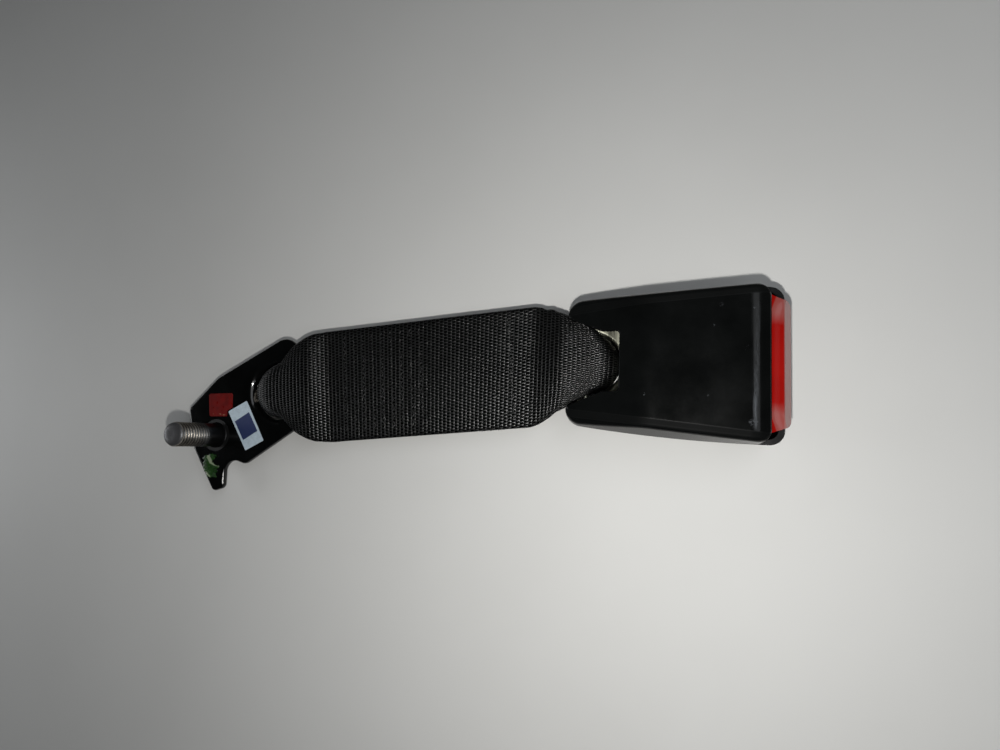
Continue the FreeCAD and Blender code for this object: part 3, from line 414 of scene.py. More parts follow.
def floor_material():
    m, nt, b = material("floor")
    co = coords(nt)
    n = noise(nt, co, 6.0, 4.0, 0.6)
    nt.links.new(ramp(nt, n, [(0.3, (0.60, 0.60, 0.585)), (0.7, (0.64, 0.64, 0.625))]), b.inputs["Base Color"])
    f = noise(nt, co, 900.0, 3.0, 0.6)
    nt.links.new(ramp(nt, f, [(0.3, grey(0.5)), (0.7, grey(0.62))]), b.inputs["Roughness"])
    nt.links.new(bump(nt, f, 0.05, 0.0001), b.inputs["Normal"])
    b.inputs["Specular IOR Level"].default_value = 0.3
    return m


# ------------------------------------------------------------------ mesh helpers
def make_mesh(name, verts, faces, mat, uvs=None, smooth_shade=True):
    """verts in mm, row frame. uvs: one (u, v) per vertex."""
    me = bpy.data.meshes.new(name)
    me.from_pydata([tuple(p * MM) for p in np.asarray(verts, float)], [], [tuple(int(i) for i in f) for f in faces])
    me.materials.append(mat)
    if smooth_shade:
        me.polygons.foreach_set("use_smooth", [True] * len(me.polygons))
    if uvs is not None:
        lay = me.uv_layers.new(name="weave")
        idx = np.zeros(len(me.loops), np.int32)
        me.loops.foreach_get("vertex_index", idx)
        lay.data.foreach_set("uv", np.asarray(uvs, np.float32)[idx].ravel())
    me.validate()
    me.update()
    o = bpy.data.objects.new(name, me)
    bpy.context.scene.collection.objects.link(o)
    return o


def grid_faces(n, m, off=0, flip=False):
    """Quads of an n x m vertex grid stored row by row."""
    i, j = np.meshgrid(np.arange(n - 1), np.arange(m - 1), indexing="ij")
    a = off + i * m + j
    q = np.stack([a, a + m, a + m + 1, a + 1], -1).reshape(-1, 4)
    return q[:, ::-1] if flip else q


# ------------------------------------------------------------------ webbing
NQ = 150                        # columns over the width, four to a repeat of the weave
STEP = 0.4377                   # row spacing, about four to a half repeat


def table(xs, pts):
    p = np.array(pts, float)
    return np.interp(xs, p[:, 0], p[:, 1])


def soft_table(pts, n=400):
    """Smoothed piecewise outline."""
    p = np.array(pts, float)
    xs = np.linspace(p[0, 0], p[-1, 0], n)
    ys = np.interp(xs, p[:, 0], p[:, 1])
    k = max(3, n // 30)
    ker = np.hanning(2 * k + 1)
    ker /= ker.sum()
    pad = np.concatenate([np.full(k, ys[0]), ys, np.full(k, ys[-1])])
    return xs, np.convolve(pad, ker, "valid")


# half width of the strap by distance from the bar, negative on the sewn side
BUCKLE_OUTLINE = [(-24, 23.4), (-19.3, 23.35), (-16.3, 22.5), (-12.6, 20.2), (-10.2, 18.0), (-6.3, 16.2), (-2.6, 14.2), (1.0, 12.4), (3.0, 11.3), (8, 11.3)]
PLATE_OUTLINE = [(-24, 23.4), (-17.5, 23.35), (-11.5, 22.6), (-8.0, 21.3), (-4.5, 19.5), (-1.5, 17.4), (1.4, 13.6), (3.2, 11.4), (8, 11.3)]


def loop_half(outline, start, arc_x, arc_a, arc_b, h_start, h_top, rise, dive, droop, wide_side=0):
    """Mid surface of one half of a loop round a bar, as rows from start to the nose.
    Returns local points (u along, v across, h above the bar's centre) as an array [rows, columns, 3] and arc lengths [rows, columns]."""
    q = np.linspace(-1, 1, NQ + 1)
    phi = q * math.radians(88.0)
    xs, ws = soft_table(outline)
    dense = 260
    pts = np.zeros((dense, NQ + 1, 3))
    for j, (qq, ph) in enumerate(zip(q, phi)):
        xe = arc_x + arc_a * math.cos(ph)
        r = min(dive * (0.45 + 0.55 * math.cos(ph)), xe - start - 2)
        # plan positions: even until the dive, then by angle
        xa = np.linspace(start, xe - r, dense // 2, endpoint=False)
        ang = np.linspace(0, math.pi / 2, dense - dense // 2)
        xb = xe - r + r * np.sin(ang)
        x = np.concatenate([xa, xb])
        w = np.interp(x, xs, ws)
        ab = arc_b
        if wide_side and qq < 0:
            w = w - np.interp(x, [0.0, 2.0, 4.0, 8.0], [0.0, 0.7, 1.6, 1.6])
            ab = arc_b - 1.2
        g = np.clip((WEB_HW - w) / (WEB_HW - ab), 0, 1)
        v = np.sign(qq) * ((1 - g) * WEB_HW * abs(qq) + g * ab * math.sin(abs(ph)) / math.sin(math.radians(88.0)))
        top = h_start + (h_top - droop * abs(qq) ** 2.2 - h_start) * smooth((x - rise[0]) / (rise[1] - rise[0]))
        fall = np.concatenate([np.ones(len(xa)), np.cos(ang)])
        h = top * fall
        if wide_side and qq > 0:
            # the upper edge lies over the frame's side before it dives
            more = np.interp(x, [-19.0, -14.0, -9.0, -4.0, 0.0, 3.0, 6.0], [0.0, 1.5, 2.3, 2.5, 3.3, 3.3, 2.0])
            v = v + more * qq ** 1.6 * smooth((h - 1.9) / 0.9)
        pts[:, j, 0], pts[:, j, 1], pts[:, j, 2] = x, v, h
    seg = np.linalg.norm(np.diff(pts, axis=0), axis=2)
    s = np.concatenate([np.zeros((1, NQ + 1)), np.cumsum(seg, axis=0)])
    rows = int(round(s[-1, NQ // 2] / STEP))
    out = np.zeros((rows + 1, NQ + 1, 3))
    length = np.zeros((rows + 1, NQ + 1))
    for j in range(NQ + 1):
        t = np.linspace(0, s[-1, j], rows + 1)
        length[:, j] = t
        for k in range(3):
            out[:, j, k] = np.interp(t, s[:, j], pts[:, j, k])
    return out, length


U0 = PLATE_BAR_X + 20.5 * math.cos(WEB_ANGLE)      # where the plate's loop meets the body, x
X1 = BAR_X - 21.0                                   # where the buckle's loop meets the body, x


def to_row_plate(p):
    """Local plate loop (u towards the bolt) to the row frame."""
    c, s = math.cos(WEB_ANGLE), math.sin(WEB_ANGLE)
    out = np.zeros_like(p)
    out[..., 0] = PLATE_BAR_X - p[..., 0] * c - p[..., 1] * s
    out[..., 1] = centre_y(PLATE_BAR_X) - p[..., 0] * s + p[..., 1] * c
    out[..., 2] = ZC + p[..., 2]
    return out


def to_row_buckle(p):
    """Local buckle loop (u towards the button); its centre line eases from the body's to the bar's."""
    out = np.zeros_like(p)
    x = BAR_X + p[..., 0]
    k = smooth((x - (X1 - 1.0)) / 24.0)
    yc = (WEB_Y + math.tan(WEB_ANGLE) * (x - WEB_X)) * (1 - k) + BUCKLE_Y * k
    out[..., 0] = x
    out[..., 1] = yc + p[..., 1]
    out[..., 2] = ZC + p[..., 2]
    return out


def strap_normals(P):
    du = np.gradient(P, axis=0)
    dv = np.gradient(P, axis=1)
    n = np.cross(du, dv)
    n /= np.linalg.norm(n, axis=2, keepdims=True) + 1e-12
    return n


def hash_noise(u, v, seed):
    """Smooth repeatable noise on a lattice of 1."""
    rng = np.random.default_rng(seed)
    tab = rng.random((256, 256))
    iu, iv = np.floor(u).astype(int), np.floor(v).astype(int)
    fu, fv = smooth(u - iu), smooth(v - iv)
    a = tab[iu % 256, iv % 256]
    b = tab[(iu + 1) % 256, iv % 256]
    c = tab[iu % 256, (iv + 1) % 256]
    d = tab[(iu + 1) % 256, (iv + 1) % 256]
    return (a * (1 - fu) + b * fu) * (1 - fv) + (c * (1 - fu) + d * fu) * fv


STITCH_X = [62.0 + 4.2 * k for k in range(9)] + [133.0]


def relief(U, V, X):
    """Height of the weave in mm. U across, V along, X the place along the body (for the sewn stretch)."""
    sewn = smooth((X - 59.0) / 3.0) * (1 - smooth((X - 98.0) / 4.0))
    jit = (hash_noise(U / 2.1, V / 2.6, 3) - 0.5) * 2.4 * sewn
    jit2 = (hash_noise(U / 1.7, V / 2.0, 5) - 0.5) * 0.9 * sewn
    amp = 0.085 * (1 - 0.35 * sewn + 0.9 * sewn * (hash_noise(U / 1.3, V / 1.9, 9) - 0.4))
    edge = 1 - smooth((np.abs(U) - 21.6) / 1.6)
    h = amp * edge * np.cos(2 * np.pi * (U + jit2) / PITCH_U) * np.cos(2 * np.pi * (V + jit) / PITCH_V)
    h = h + 0.05 * (hash_noise(U / 6.0 + 40, V / 9.0, 11) - 0.5)
    for x in STITCH_X:
        h = h - 0.10 * np.exp(-((X - x) / 0.55) ** 2) * (np.abs(U) < 20.5)
    # rounded selvedge
    h = h - 0.38 * smooth((np.abs(U) - 21.9) / 1.5) ** 2
    return h


def closed_strap(name, P, U, V, X, mat, coarse=5, both=False):
    """Closed strap from a mid surface: fine outside face, coarse inside face, rounded selvedges, capped ends."""
    n, m = P.shape[:2]
    N = strap_normals(P)
    t = LAYER_T / 2
    top = P + N * (t + relief(U, V, X))[..., None]
    cols = list(range(0, m, 1 if both else coarse))
    if cols[-1] != m - 1:
        cols.append(m - 1)
    under = P[:, cols] - N[:, cols] * (t + (relief(U, V + 0.9, X)[:, cols] if both else -0.03 - 0.3 * smooth((np.abs(U[:, cols]) - 21.9) / 1.5)))[..., None]
    # selvedge mid lines
    side = np.gradient(P, axis=1)
    side /= np.linalg.norm(side, axis=2, keepdims=True) + 1e-12
    e0 = P[:, 0] - side[:, 0] * 0.16
    e1 = P[:, -1] + side[:, -1] * 0.16
    k = len(cols)
    verts = np.concatenate([top.reshape(-1, 3), under.reshape(-1, 3), e0, e1])
    uv_top = np.stack([U, V], -1).reshape(-1, 2)
    uv_low = np.stack([U[:, cols], V[:, cols] + 0.9], -1).reshape(-1, 2)
    uv_e0 = np.stack([U[:, 0] - 0.6, V[:, 0]], -1)
    uv_e1 = np.stack([U[:, -1] + 0.6, V[:, -1]], -1)
    uvs = np.concatenate([uv_top, uv_low, uv_e0, uv_e1]) / 10.0
    o_low = n * m
    o_e0 = o_low + n * k
    o_e1 = o_e0 + n
    faces = [grid_faces(n, m, 0), grid_faces(n, k, o_low, True)]
    i = np.arange(n - 1)
    faces.append(np.stack([i * m, o_e0 + i, o_e0 + i + 1, (i + 1) * m], -1)[:, ::-1][:, [3, 2, 1, 0]])
    faces.append(np.stack([o_e0 + i, o_low + i * k, o_low + (i + 1) * k, o_e0 + i + 1], -1))
    r = m - 1
    faces.append(np.stack([o_e1 + i, i * m + r, (i + 1) * m + r, o_e1 + i + 1], -1))
    faces.append(np.stack([o_low + i * k + k - 1, o_e1 + i, o_e1 + i + 1, o_low + (i + 1) * k + k - 1], -1))
    f = [tuple(int(v) for v in q) for part in faces for q in part]
    for row in (0, n - 1):
        loop = [row * m + j for j in range(m)] + [o_e1 + row] + [o_low + row * k + j for j in reversed(range(k))] + [o_e0 + row]
        f.append(tuple(loop if row == 0 else loop[::-1]))
    o = make_mesh(name, verts, f, mat, uvs)
    return o


def fix_normals(o):
    import bmesh
    bm = bmesh.new()
    bm.from_mesh(o.data)
    bmesh.ops.recalc_face_normals(bm, faces=bm.faces)
    bm.to_mesh(o.data)
    bm.free()
    o.data.update()
    return o


def build_strap(mat):
    q = np.linspace(-1, 1, NQ + 1)
    H1 = 1.38                                      # upper layer's middle above the bar centres
    bt, bl = loop_half(BUCKLE_OUTLINE, -21.0, 2.6, 10.8, 11.3, H1, 4.45, (-20.0, -6.5), 8.5, 1.2, 1)
    bu, bul = loop_half(BUCKLE_OUTLINE, -21.0, 2.6, 10.8, 11.3, 0.02, 4.45, (-20.0, -6.5), 8.5, 1.2, 1)
    pt, pl = loop_half(PLATE_OUTLINE, -20.5, 3.2, 13.4, 11.3, H1, 4.75, (-20.0, -7.5), 7.5, 1.1)
    pu, pul = loop_half(PLATE_OUTLINE, -20.5, 3.2, 13.4, 11.3, H1, 4.75, (-20.0, -7.5), 7.5, 1.1)

    def lower(p):
        p = p.copy()
        p[..., 2] *= -1
        return p

    # across: column 0 at -y everywhere in the row frame
    Pt = to_row_plate(pt)
    Pu = to_row_plate(lower(pu))
    Bt = to_row_buckle(bt)
    Bu = to_row_buckle(lower(bu))
    # body rows between the two upper halves
    a, b = Pt[0], Bt[0]
    nb = int(round(np.linalg.norm(a[NQ // 2] - b[NQ // 2]) / STEP))
    k = np.linspace(0, 1, nb + 1)[:, None, None]
    body = a[None] * (1 - k) + b[None] * k
    body_len = np.linalg.norm(a[NQ // 2] - b[NQ // 2])
    # V runs from the plate side start of the body; the loops carry it on
    vb = np.repeat((np.linspace(0, 1, nb + 1) * body_len)[:, None], NQ + 1, 1)
    # rows: plate underside (start -> nose), plate top (nose -> start), body, buckle top (start -> nose), buckle underside (nose -> start)
    parts = [Pu, Pt[::-1][1:], body[1:], Bt[1:], Bu[::-1][1:]]
    vs = [pul, -pl[::-1][1:], vb[1:], body_len + bl[1:], bul[::-1][1:]]
    P = np.concatenate(parts)
    V = np.concatenate(vs)
    U = np.repeat((q * WEB_HW)[None], len(P), 0)
    # place along the sewn body, far away for rows of the undersides
    X = P[..., 0].copy()
    X[: len(Pu)] = -100
    X[len(P) - len(Bu) + 1:] = -100
    # a slight crown and waviness
    wave = 0.22 * (hash_noise(U / 14.0 + 3, V / 17.0 + 5, 21) - 0.5)
    crown = 0.12 * (1 - (U / WEB_HW) ** 2)
    top_rows = np.zeros(len(P))
    top_rows[len(Pu): len(P) - len(Bu)] = 1
    P[..., 2] += (wave + crown) * smooth(top_rows)[:, None]
    N = strap_normals(P)
    if N[len(Pu) + len(Pt) + 20, NQ // 2, 2] < 0:
        P, U, V, X = P[:, ::-1], U[:, ::-1], V[:, ::-1], X[:, ::-1]
    strap = closed_strap("webbing_strap", P, U, V, X, mat)
    mid = NQ // 2
    total = float(np.linalg.norm(np.diff(P[:, mid], axis=0), axis=1).sum())
    # the tail sewn between: from the buckle's underside back to x = 64, and the lowest layer from the plate side to x = 131
    return strap, total, Bu[0], Pu[0]


def flat_layer(name, x0, x1, z, mat, lift=0.0, fine=True):
    n = int(round((x1 - x0) / (STEP if fine else 1.7)))
    q = np.linspace(-1, 1, NQ + 1)
    x = np.linspace(x0, x1, n + 1)
    X, Q = np.meshgrid(x, q, indexing="ij")
    P = np.zeros(X.shape + (3,))
    s = math.sin(WEB_ANGLE) * 0
    P[..., 0] = X
    P[..., 1] = WEB_Y + math.tan(WEB_ANGLE) * (X - WEB_X) + Q * WEB_HW
    P[..., 2] = z + lift
    U = Q * WEB_HW
    V = (X - x0)
    return P, U, V, X


WEB = webbing_material()
strap, strap_len, buckle_end, plate_end = build_strap(WEB)
fix_normals(strap)
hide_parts("webbing_body", "webbing_buckle_loop", "webbing_plate_loop")
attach(strap, "webbing")

# lowest layer, from the plate's loop to its cut end near the buckle: its outside face looks down
P, U, V, X = flat_layer("webbing_lower", U0 - 0.6, 131.0, ZC - 1.38, WEB)
P = P[:, ::-1]
U, V, X = U[:, ::-1], V[:, ::-1], np.where(X[:, ::-1] > 0, X[:, ::-1], 0)
lower = fix_normals(closed_strap("webbing_lower_layer", P, U, V, X, WEB))
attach(lower, "webbing")
# the tail between the two
P, U, V, X = flat_layer("webbing_tail", 64.0, X1 + 0.6, ZC, WEB, fine=False)
P = P[:, ::-1]
U, V, X = U[:, ::-1], V[:, ::-1], X[:, ::-1] * 0 - 100
tail = fix_normals(closed_strap("webbing_tail", P, U, V, X, WEB))
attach(tail, "webbing")


# ------------------------------------------------------------------ stitching
def capsule(path, radius, sides=6):
    """Tube along path (mm) with tapered ends; returns verts, faces."""
    path = np.asarray(path, float)
    n = len(path)
    t = np.gradient(path, axis=0)
    t /= np.linalg.norm(t, axis=1, keepdims=True)
    up = np.array([0, 0, 1.0])
    a = np.cross(t, up)
    a /= np.linalg.norm(a, axis=1, keepdims=True) + 1e-9
    b = np.cross(a, t)
    vs = []
    for i in range(n):
        f = math.sin(math.pi * (i + 0.35) / (n - 0.3))
        r = radius * (0.45 + 0.55 * f)
        for k in range(sides):
            w = 2 * math.pi * k / sides
            vs.append(path[i] + r * (math.cos(w) * a[i] + math.sin(w) * b[i]))
    faces = []
    for i in range(n - 1):
        for k in range(sides):
            k2 = (k + 1) % sides
            faces.append((i * sides + k, i * sides + k2, (i + 1) * sides + k2, (i + 1) * sides + k))
    faces.append(tuple(reversed(range(sides))))
    faces.append(tuple((n - 1) * sides + k for k in range(sides)))
    return vs, faces


def stitch_rows(mat):
    verts, faces = [], []
    rng = np.random.default_rng(19)
    for x0 in STITCH_X:
        for z, sgn in ((ZC + 2.02, 1), (ZC - 2.02, -1)):
            if sgn < 0 and x0 > 131:
                z = ZC - 2.02 + 1.36
            y = -19.8
            side = 1
            while y < 19.6:
                dy = 1.75
                xa, xb = x0 - 0.55 * side, x0 + 0.55 * side
                ya, yb = y, y + dy
                jit = rng.normal(0, 0.09, 4)
                p = []
                for k in range(6):
                    f = k / 5
                    px = xa + (xb - xa) * f + jit[0]
                    py = ya + 0.12 + (yb - ya - 0.24) * f + jit[1]
                    pz = z + sgn * (0.10 * math.sin(math.pi * f) - 0.10)
                    yy = centre_y(px) + py * math.cos(WEB_ANGLE)
                    xx = px - py * math.sin(WEB_ANGLE)
                    p.append((xx, yy + 0.0, pz))
                vs, fs = capsule(p, 0.20)
                off = len(verts)
                verts += vs
                faces += [tuple(off + i for i in f) for f in fs]
                y += dy
                side *= -1
    return make_mesh("webbing_stitches", verts, faces, mat)


stitches = stitch_rows(thread_material())
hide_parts("webbing_stitching")
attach(stitches, "webbing")


# ------------------------------------------------------------------ bolt with its real thread
def build_bolt(mat):
    pitch = 1.5
    sides = 72
    zs, rows = [], []
    z0, z1 = 10.0, 23.9
    # smooth shank, threaded length, taper, pilot with a rounded end; (z, radius, thread depth)
    prof = [(-0.3, 5.35, 0.0), (0.6, 5.1, 0.0), (z0 - 1.2, 5.0, 0.0)]
    n = int((z1 - z0) / pitch * 14)
    for i in range(n + 1):
        z = z0 - 1.0 + (z1 + 0.6 - z0 + 1.0) * i / n
        d = 0.86 * smooth((z - z0 + 1.0) / 1.6) * (1 - smooth((z - z1 + 0.6) / 1.2))
        prof.append((z, 5.0, float(d)))
    prof = [q for q in prof if q[0] < 23.7]
    prof += [(23.75, 4.78, 0), (24.0, 4.75, 0), (24.3, 4.6, 0), (24.6, 4.3, 0), (24.82, 3.95, 0), (24.98, 3.5, 0), (25.1, 2.8, 0), (25.16, 2.0, 0), (25.17, 1.2, 0), (25.15, 0.5, 0)]
    verts = []
    for z, r, d in prof:
        for k in range(sides):
            a = 2 * math.pi * k / sides
            ph = (z / pitch - k / sides) % 1.0
            tri = abs(ph - 0.5) * 2                 # 1 at crest, 0 at root
            shape = min(1.0, max(0.0, (tri - 0.06) / 0.80))
            rr = r - d * (1 - shape)
            dent = 0.03 * math.sin(5 * a + z * 1.3) * math.sin(3.1 * z + 2 * a) * (1 if d > 0.1 else 0.4)
            rr += dent
            verts.append((rr * math.cos(a), rr * math.sin(a), z))
    faces = []
    m = len(prof)
    for i in range(m - 1):
        for k in range(sides):
            k2 = (k + 1) % sides
            faces.append((i * sides + k, i * sides + k2, (i + 1) * sides + k2, (i + 1) * sides + k))
    faces.append(tuple((m - 1) * sides + k for k in range(sides)))
    # below: shoulder, flange and hexagon head
    base = len(verts)
    low = [(-0.3, 5.5), (-4.2, 5.5), (-4.35, 5.6), (-4.4, 8.7), (-4.5, 8.95), (-4.9, 9.0), (-5.35, 8.85), (-5.6, 8.4)]
    for z, r in low:
        for k in range(sides):
            a = 2 * math.pi * k / sides
            verts.append((r * math.cos(a), r * math.sin(a), z))
    for i in range(len(low) - 1):
        for k in range(sides):
            k2 = (k + 1) % sides
            faces.append((base + (i + 1) * sides + k, base + (i + 1) * sides + k2, base + i * sides + k2, base + i * sides + k))
    for k in range(sides):
        k2 = (k + 1) % sides
        faces.append((base + k, base + k2, k2, k))
    # hexagon: radius to the flats by angle, with chamfered corners
    hexr = []
    for k in range(sides):
        a = 2 * math.pi * k / sides
        b = (a - math.radians(12.0 - 30.0)) % math.radians(60.0) - math.radians(30.0)
        hexr.append(7.5 / math.cos(b))
    last = base + (len(low) - 1) * sides
    hexrows = [(-5.6, 1.0, 0.25), (-5.95, 1.0, 0.0), (-8.3, 1.0, 0.0), (-8.75, 0.99, 9e9), (-9.0, 0.93, 9e9), (-8.95, 0.72, 9e9), (-8.6, 0.62, 9e9), (-8.55, 0.25, 9e9)]
    for z, f, extra in hexrows:
        off = len(verts)
        for k in range(sides):
            a = 2 * math.pi * k / sides
            r = hexr[k] * f + (extra if extra < 1e6 else 0)
            if extra > 1e6:
                r = min(hexr[k], 7.9) * f
            verts.append((r * math.cos(a), r * math.sin(a), z))
        for k in range(sides):
            k2 = (k + 1) % sides
            faces.append((off + k, off + k2, last + k2, last + k))
        last = off
    faces.append(tuple(last + k for k in reversed(range(sides))))
    o = make_mesh("stud_bolt", verts, faces, mat)
    return fix_normals(o)


bolt = build_bolt(bolt_material())
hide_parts("anchor_bolt")
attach(bolt, "bolt")


# ------------------------------------------------------------------ labels and paint on the plate
def white_label_material():
    """Plain white film with a plain blue block, rubbed in random patches."""
    m, nt, b = material("white_film")
    co = coords(nt)
    # label's own axes: u along its short side, v along its long side, origin at the lower-left corner, mm
    ang = math.radians(-57.8)
    mp = node(nt, "ShaderNodeMapping", vector_type="TEXTURE")
    nt.links.new(co, mp.inputs["Vector"])
    mp.inputs["Location"].default_value = (5.6 * MM, 10.55 * MM, 0)
    mp.inputs["Rotation"].default_value = (0, 0, ang)
    mp.inputs["Scale"].default_value = (MM, MM, MM)
    v, u, _ = separate(nt, mp.outputs[0])       # v runs down the long side, u across to the right

    def inside(s, lo, hi):
        return math_node(nt, "MULTIPLY", math_node(nt, "GREATER_THAN", s, lo), math_node(nt, "LESS_THAN", s, hi))

    blue = math_node(nt, "MULTIPLY", inside(v, 5.6, 15.0), inside(u, 1.0, 9.0))
    fuzz = noise(nt, co, 900.0, 3.0, 0.6)
    white = ramp(nt, fuzz, [(0.3, (0.45, 0.55, 0.62)), (0.7, (0.56, 0.66, 0.74))])
    rub = ramp(nt, noise(nt, co, 500.0, 4.0, 0.7), [(0.55, grey(0.0)), (0.75, grey(0.5))])
    c1 = mix(nt, rub, white, (0.30, 0.36, 0.40, 1))
    c2 = mix(nt, math_node(nt, "MULTIPLY", blue, 0.97), c1, (0.012, 0.022, 0.095, 1))
    nt.links.new(c2, b.inputs["Base Color"])
    nt.links.new(ramp(nt, fuzz, [(0.3, grey(0.35)), (0.7, grey(0.5))]), b.inputs["Roughness"])
    nt.links.new(bump(nt, fuzz, 0.1, 0.00004), b.inputs["Normal"])
    return m


def red_label_material():
    m, nt, b = material("red_film")
    co = coords(nt)
    x, y, z = separate(nt, co)
    xm = math_node(nt, "MULTIPLY", x, 1000.0)
    ym = math_node(nt, "MULTIPLY", y, 1000.0)
    n = noise(nt, co, 600.0, 4.0, 0.65)
    big = noise(nt, co, 180.0, 3.0, 0.6)
    base = ramp(nt, big, [(0.3, (0.10, 0.0018, 0.0012)), (0.7, (0.19, 0.004, 0.0025))])

    def inside(s, lo, hi):
        return math_node(nt, "MULTIPLY", math_node(nt, "GREATER_THAN", s, lo), math_node(nt, "LESS_THAN", s, hi))

    smudge = ramp(nt, noise(nt, mapped(nt, co, (300.0, 160.0, 1.0)), 1.0, 4.0, 0.6), [(0.45, grey(0.0)), (0.7, grey(0.6))])
    c1 = mix(nt, smudge, base, (0.05, 0.002, 0.002, 1))
    # rubbed pale spots along the lower edge
    edge = math_node(nt, "SUBTRACT", 1.0, math_node(nt, "MULTIPLY", math_node(nt, "ABSOLUTE", math_node(nt, "SUBTRACT", ym, 9.0)), 1.6), clamp=True)
    spots = math_node(nt, "MULTIPLY", edge, ramp(nt, n, [(0.56, grey(0.0)), (0.64, grey(1.0))]), clamp=True)
    c2 = mix(nt, spots, c1, (0.42, 0.30, 0.18, 1))
    nt.links.new(c2, b.inputs["Base Color"])
    nt.links.new(ramp(nt, n, [(0.3, grey(0.25)), (0.7, grey(0.45))]), b.inputs["Roughness"])
    nt.links.new(bump(nt, n, 0.15, 0.00005), b.inputs["Normal"])
    b.inputs["Specular IOR Level"].default_value = 0.2
    return m


def paint_material():
    m, nt, b = material("green_paint")
    co = coords(nt)
    n = noise(nt, co, 330.0, 4.0, 0.65)
    wet = noise(nt, mapped(nt, co, (1, 1, 1), (0, 0, 0.6), (0.3, 0.1, 0)), 260.0, 3.0, 0.6)
    green = ramp(nt, n, [(0.3, (0.005, 0.022, 0.004)), (0.7, (0.020, 0.070, 0.012))])
    x, y, z = separate(nt, co)
    xm = math_node(nt, "MULTIPLY", x, 1000.0)
    ym = math_node(nt, "MULTIPLY", y, 1000.0)
    fac = ramp(nt, noise(nt, co, 1500.0, 2.0, 0.5), [(0.68, grey(0.0)), (0.72, grey(0.5))])
    # cream streak down the inner upper edge and a cream spot at the lower left, as short strokes
    strokes = [(-2.7, -9.3, -1.65, -10.9, 0.85), (-1.65, -10.9, -0.9, -12.1, 0.8), (-0.9, -12.1, 0.9, -13.1, 0.6), (0.9, -13.1, 3.3, -13.6, 0.35), (-3.3, -16.2, -2.1, -17.2, 0.6), (-2.1, -17.2, -0.9, -18.1, 0.5)]
    for x0, y0, x1, y1, w in strokes:
        ln = math.hypot(x1 - x0, y1 - y0)
        ex, ey = (x1 - x0) / ln, (y1 - y0) / ln
        ax = math_node(nt, "SUBTRACT", xm, x0)
        ay = math_node(nt, "SUBTRACT", ym, y0)
        along = math_node(nt, "ADD", math_node(nt, "MULTIPLY", ax, ex), math_node(nt, "MULTIPLY", ay, ey))
        off = math_node(nt, "ABSOLUTE", math_node(nt, "SUBTRACT", math_node(nt, "MULTIPLY", ax, ey), math_node(nt, "MULTIPLY", ay, ex)))
        out_ = math_node(nt, "MAXIMUM", math_node(nt, "SUBTRACT", along, ln), math_node(nt, "MAXIMUM", math_node(nt, "MULTIPLY", along, -1.0), 0.0))
        dd = math_node(nt, "ADD", math_node(nt, "ADD", off, out_), math_node(nt, "MULTIPLY", math_node(nt, "SUBTRACT", wet, 0.5), 1.2))
        f = math_node(nt, "MULTIPLY", math_node(nt, "SUBTRACT", w, dd), 3.0, clamp=True)
        fac = math_node(nt, "MAXIMUM", fac, f)
    nt.links.new(mix(nt, fac, green, (0.24, 0.29, 0.19, 1)), b.inputs["Base Color"])
    nt.links.new(ramp(nt, wet, [(0.3, grey(0.15)), (0.7, grey(0.35))]), b.inputs["Roughness"])
    nt.links.new(bump(nt, n, 0.3, 0.0001), b.inputs["Normal"])
    b.inputs["Coat Weight"].default_value = 0.3
    b.inputs["Coat Roughness"].default_value = 0.1
    return m


def build_paint(mat):
    """A brushed dab with an uneven outline and a thick, rounded edge."""
    ctrl = np.array([(-4.13, -9.0), (-5.05, -10.59), (-4.97, -12.96), (-4.29, -15.29), (-3.26, -16.88), (-1.7, -18.21), (0.3, -18.56), (1.92, -18.0), (2.3, -16.33), (2.24, -14.6), (3.5, -13.6), (1.39, -13.0), (0.1, -12.2), (0.0, -10.81), (1.04, -9.9), (2.13, -9.45), (0.6, -8.5), (-1.92, -8.5)], float)
    n = len(ctrl)
    rng = np.random.default_rng(4)
    out = []
    for i in range(n):
        p0, p1, p2, p3 = ctrl[i - 1], ctrl[i], ctrl[(i + 1) % n], ctrl[(i + 2) % n]
        for t in np.linspace(0, 1, 8, endpoint=False):
            out.append(0.5 * ((2 * p1) + (-p0 + p2) * t + (2 * p0 - 5 * p1 + 4 * p2 - p3) * t * t + (-p0 + 3 * p1 - 3 * p2 + p3) * t ** 3))
    out = np.array(out)
    m = len(out)
    ph = np.linspace(0, 2 * np.pi, m, endpoint=False)
    d = np.roll(out, -1, 0) - np.roll(out, 1, 0)
    nor = np.stack([d[:, 1], -d[:, 0]], 1)
    nor /= np.linalg.norm(nor, axis=1, keepdims=True)
    wob = sum(rng.normal(0, 0.07) * np.sin(k * ph + rng.random() * 6) for k in range(7, 30))
    out = out + nor * wob[:, None]
    verts, faces = [], []
    rings = [(0.0, 0.0), (0.0, 0.05), (0.14, 0.12), (0.45, 0.15)]
    for inset, z in rings:
        for p, q in zip(out, nor):
            sgn = 1
            verts.append((p[0] + q[0] * inset * sgn, p[1] + q[1] * inset * sgn, z))
    area = 0.5 * np.sum(out[:, 0] * np.roll(out[:, 1], -1) - np.roll(out[:, 0], -1) * out[:, 1])
    verts = []
    s = -1.0 if area > 0 else 1.0
    for inset, z in rings:
        for p, q in zip(out, nor):
            verts.append((p[0] + s * q[0] * inset, p[1] + s * q[1] * inset, z))
    for r in range(len(rings) - 1):
        for k in range(m):
            k2 = (k + 1) % m
            faces.append((r * m + k, r * m + k2, (r + 1) * m + k2, (r + 1) * m + k))
    faces.append(tuple((len(rings) - 1) * m + k for k in range(m)))
    faces.append(tuple(reversed(range(m))))
    o = make_mesh("paint_dab", verts, faces, mat)
    return fix_normals(o)


dab = build_paint(paint_material())
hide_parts("paint_mark")
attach(dab, "anchor")

